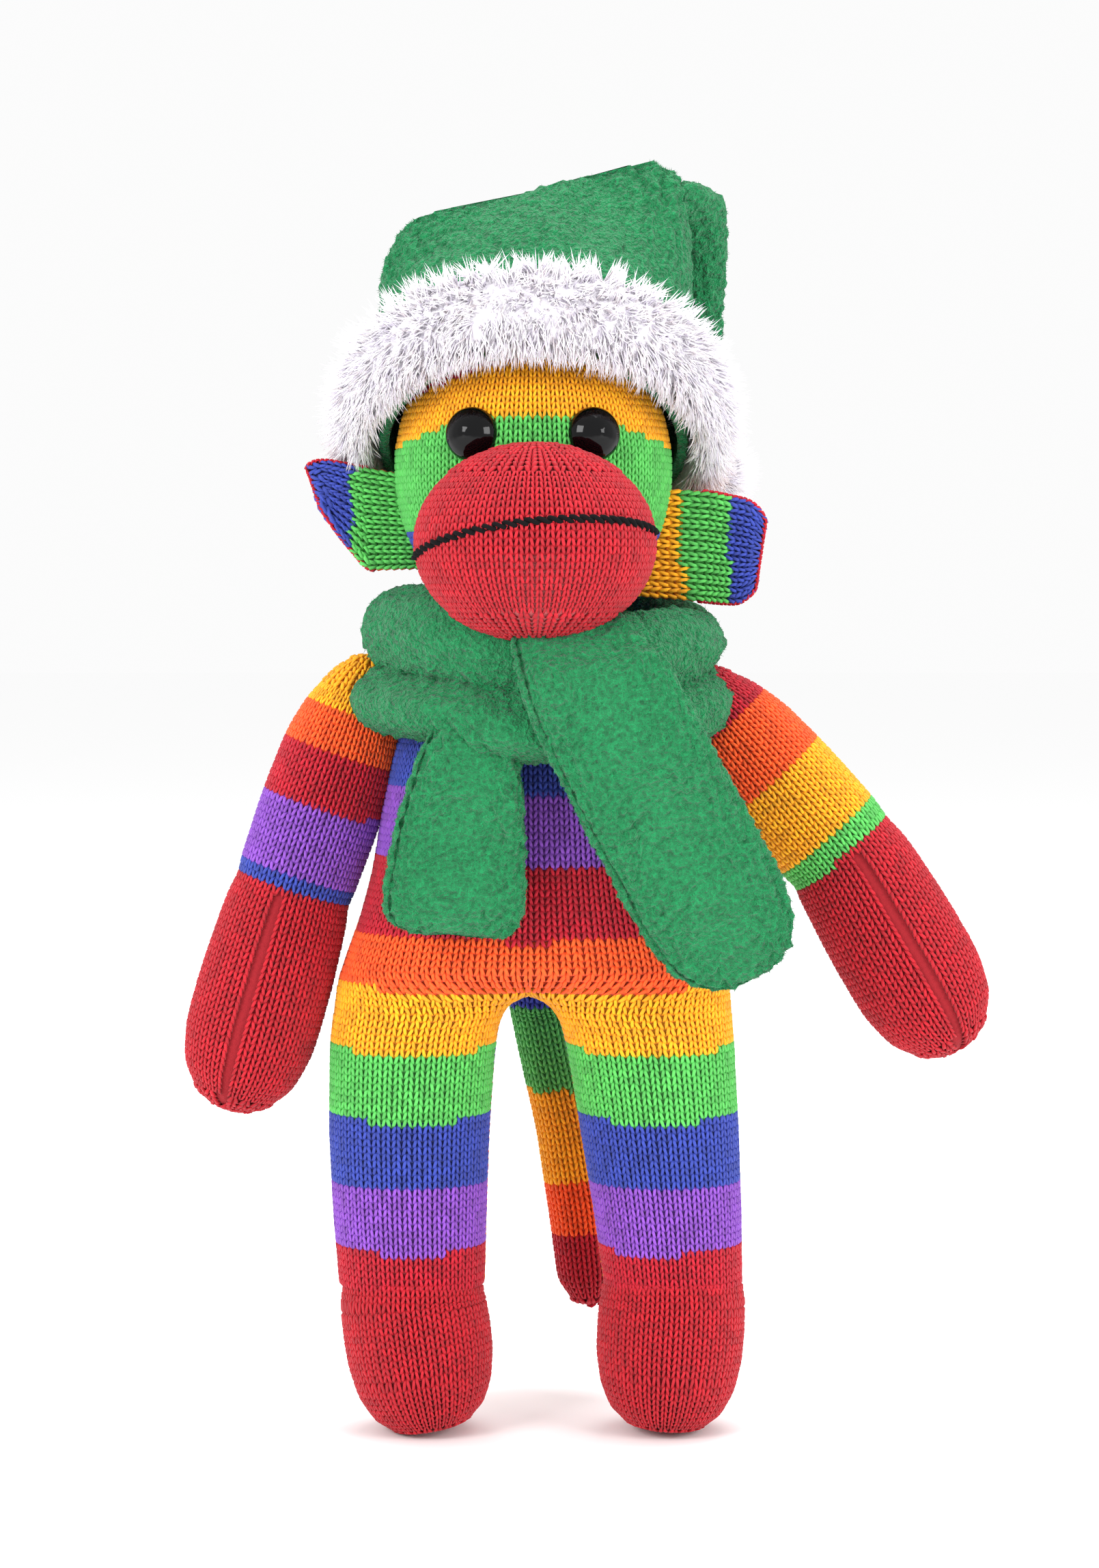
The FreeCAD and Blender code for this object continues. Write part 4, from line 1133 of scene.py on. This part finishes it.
ring_u, ring_t = np.meshgrid(np.arange(28) / 28, np.arange(150) / 150)
piece = closed_grid("hat_trim_backing", trim_surface(ring_t, ring_u), [white_fur.material], loop=True)
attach(piece, "hat")
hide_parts("hat_fur_trim")
for number, half_of in enumerate((0.0, 0.5)):
    dice = np.random.default_rng(50 + number)
    u = half_of + dice.uniform(size=TRIM_HAIRS) * 0.5
    t = dice.uniform(-0.36, 0.36, TRIM_HAIRS)
    place = trim_surface(u, t)
    upright = unit(place - trim_surface(u, t, 0.5, 4.0))
    downwards = np.tile(-RIM_UP * 0.95, (TRIM_HAIRS, 1))
    piece = fur(f"hat_trim_fur_{number}", place, upright, downwards, 6.4, TRIM_TUFTS, 60 + number, 0.42)
    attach(piece, "hat")

POMPOM = np.array([37.5, 39.5, 197.4])
POMPOM_HAIRS, POMPOM_TUFTS = 5200, 260
ball_u, ball_t = np.meshgrid(np.arange(28) / 28, np.linspace(0, 1, 18))
piece = closed_grid("pompom_middle", ball(POMPOM, (5, 5, 5))(ball_u, ball_t), [white_fur.material])
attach(piece, "hat_tip")
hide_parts("pompom_fur", "pompom_core")
dice = np.random.default_rng(71)
spokes = unit(dice.normal(size=(POMPOM_HAIRS, 3)))
roots = POMPOM * MM + spokes * 4.6 * MM
piece = fur("pompom_hair", roots, spokes, np.zeros_like(spokes), 7.6, POMPOM_TUFTS, 72)
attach(piece, "hat_tip")

# ---- Scarf -------------------------------------------------------------------------------------
# A strip of the green fleece wound round the neck, gathered into two soft rolls, with a short end in
# front on the left and a long end that comes from under the muzzle and crosses to the right.
SCARF_AT = np.array([2.0, -1.0, 156.2])
SCARF_REACH = 29.2
# reach and height of the cloth's middle, from its top edge over both rolls to its bottom edge
SCARF_SECTION = [(-5.5, 7.5), (-3.5, 11.2), (1.0, 12.6), (5.2, 10.2), (6.8, 5.8), (4.6, 1.8), (3.0, 0.2),
                 (5.6, -1.6), (8.6, -5.2), (7.6, -9.6), (3.0, -12.4), (-2.0, -11.6), (-5.2, -8.5)]
SECTION_POINTS = 66
SCARF_HALF_THICK = 1.0
last_key = len(SCARF_SECTION) - 1
middle = along_curve(np.arange(last_key + 1), SCARF_SECTION, np.linspace(0, last_key, SECTION_POINTS))
run = np.gradient(middle, axis=0)
over_cloth = unit(np.stack([-run[:, 1], run[:, 0]], 1)) * SCARF_HALF_THICK
section = np.concatenate([middle + over_cloth, (middle - over_cloth)[::-1]])
turn = np.arange(260) / 260 * 2 * math.pi
heading = np.stack([np.cos(turn), np.sin(turn), np.zeros_like(turn)], 1)


def near(angle, spread):
    """1 at an angle round the neck, given in degrees, and less and less away from it."""
    return np.exp(-((np.angle(np.exp(1j * (turn - math.radians(angle))))) / spread) ** 2)


front_left, front_right, beside = near(232, 0.75), near(330, 0.6), near(0, 0.5)
gather = wobble(heading * 30, 17.0, 81)
reach = section[None, :, 0] * (1 + 0.10 * gather[:, None] + 0.16 * front_left[:, None])
rise = section[None, :, 1] * (1 + 0.07 * wobble(heading * 30, 23.0, 82)[:, None])
upper_edge = np.clip(section[None, :, 1], 0, 20) / 12
rise = rise + upper_edge * (5.0 * front_left + 2.0 * front_right - 2.2 * beside)[:, None]
rise = rise + (1.6 * np.sin(turn * 2 + 0.6) + 0.105 * SCARF_REACH * np.sin(turn))[:, None]
loop = SCARF_AT + heading[:, None] * (SCARF_REACH + reach)[..., None]
loop = loop + np.array([0, 0, 1.0]) * rise[..., None]
loop = fluffy(loop * MM, 0.42 * MM, 2.5 * MM, 83, loop=True)
piece = closed_grid("scarf_loop_fleece", loop, [green_fleece], loop=True)
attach(piece, "torso")
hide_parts("scarf_loop")
piece = fuzz("scarf_loop_fuzz", loop[:, :SECTION_POINTS], 9000, 84, loop=True)
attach(piece, "torso")

ENDS = {
    "short": {
        "line": [(-9, -29, 149), (-11, -33.4, 143), (-12.6, -34.0, 137), (-14.4, -32.2, 124),
                 (-16.2, -29.8, 104)],
        "profile": [(0, 7.5, 2.2), (7, 8.8, 2.8), (15, 10.8, 2.8), (26, 12.8, 2.6), (38, 14.0, 2.5),
                    (43, 13.6, 2.3), (45.6, 11.6, 1.8), (46.6, 8.0, 0.5)],
        "rows": 64, "fibres": 3500, "pleats": 1.5, "flat": (0.0275, 0.045),
        "bend": ((-0.011, -0.0334, 0.143), (-0.0126, -0.034, 0.137)),
    },
    "long": {
        "line": [(5, -29, 168), (8, -37.0, 164), (11.5, -41.6, 156), (18, -41.0, 143), (27, -37.6, 126),
                 (35.5, -33.5, 110), (44.5, -29.5, 93.5)],
        "profile": [(0, 9.5, 2.2), (9, 12.6, 2.5), (20, 14.4, 2.5), (45, 14.8, 2.5), (72, 14.8, 2.4),
                    (80, 13.4, 2.2), (85, 10.0, 1.8), (87.6, 6.0, 1.2), (88.4, 1.0, 0.4)],
        "rows": 110, "fibres": 6000, "pleats": 0.7, "flat": (0.027, 0.086),
        "bend": ((0.010, -0.040, 0.160), (0.0125, -0.0416, 0.1545)),
    },
}
for word, end in ENDS.items():
    end_u, end_t = np.meshgrid(np.arange(150) / 150, np.linspace(0, 1, end["rows"]))
    grid = tube(end["line"], end["profile"], square=0.42)(end_u, end_t)
    across = np.cos(end_u * 2 * math.pi)
    pleat = np.sin(across * 7.5 + 0.6) * end["pleats"] * np.exp(-end_t * 4.5) * MM
    sway = wobble(grid * np.array([1, 0, 1]), 24 * MM, 91) * 0.9 * MM
    grid = grid + np.array([0, 1.0, 0]) * (pleat + sway)[..., None]
    normals = grid_normals(grid)
    on_front = normals[..., 1] < 0
    seam = np.exp(-((across + 0.80) / 0.05) ** 2) * on_front * 0.8 * MM
    grid = fluffy(grid - normals * seam[..., None], PEBBLE, PEBBLE_SIZE, 92)
    bend = bending(*end["bend"])
    piece = closed_grid(f"scarf_{word}_end_fleece", grid, [green_fleece])
    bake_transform(piece, "torso", f"scarf_{word}_end", **bend)
    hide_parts(f"scarf_{word}_end")
    piece = fuzz(f"scarf_{word}_end_fuzz", grid, end["fibres"], 93)
    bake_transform(piece, "torso", f"scarf_{word}_end", **bend)

# ---- The copied forms --------------------------------------------------------------------------
# The single stitch, fibre and hair that the planting trees copied aren't pieces of the toy, so
# they are removed.
for form in (stitch_form, fuzz_form, hair_form):
    bpy.data.objects.remove(form)
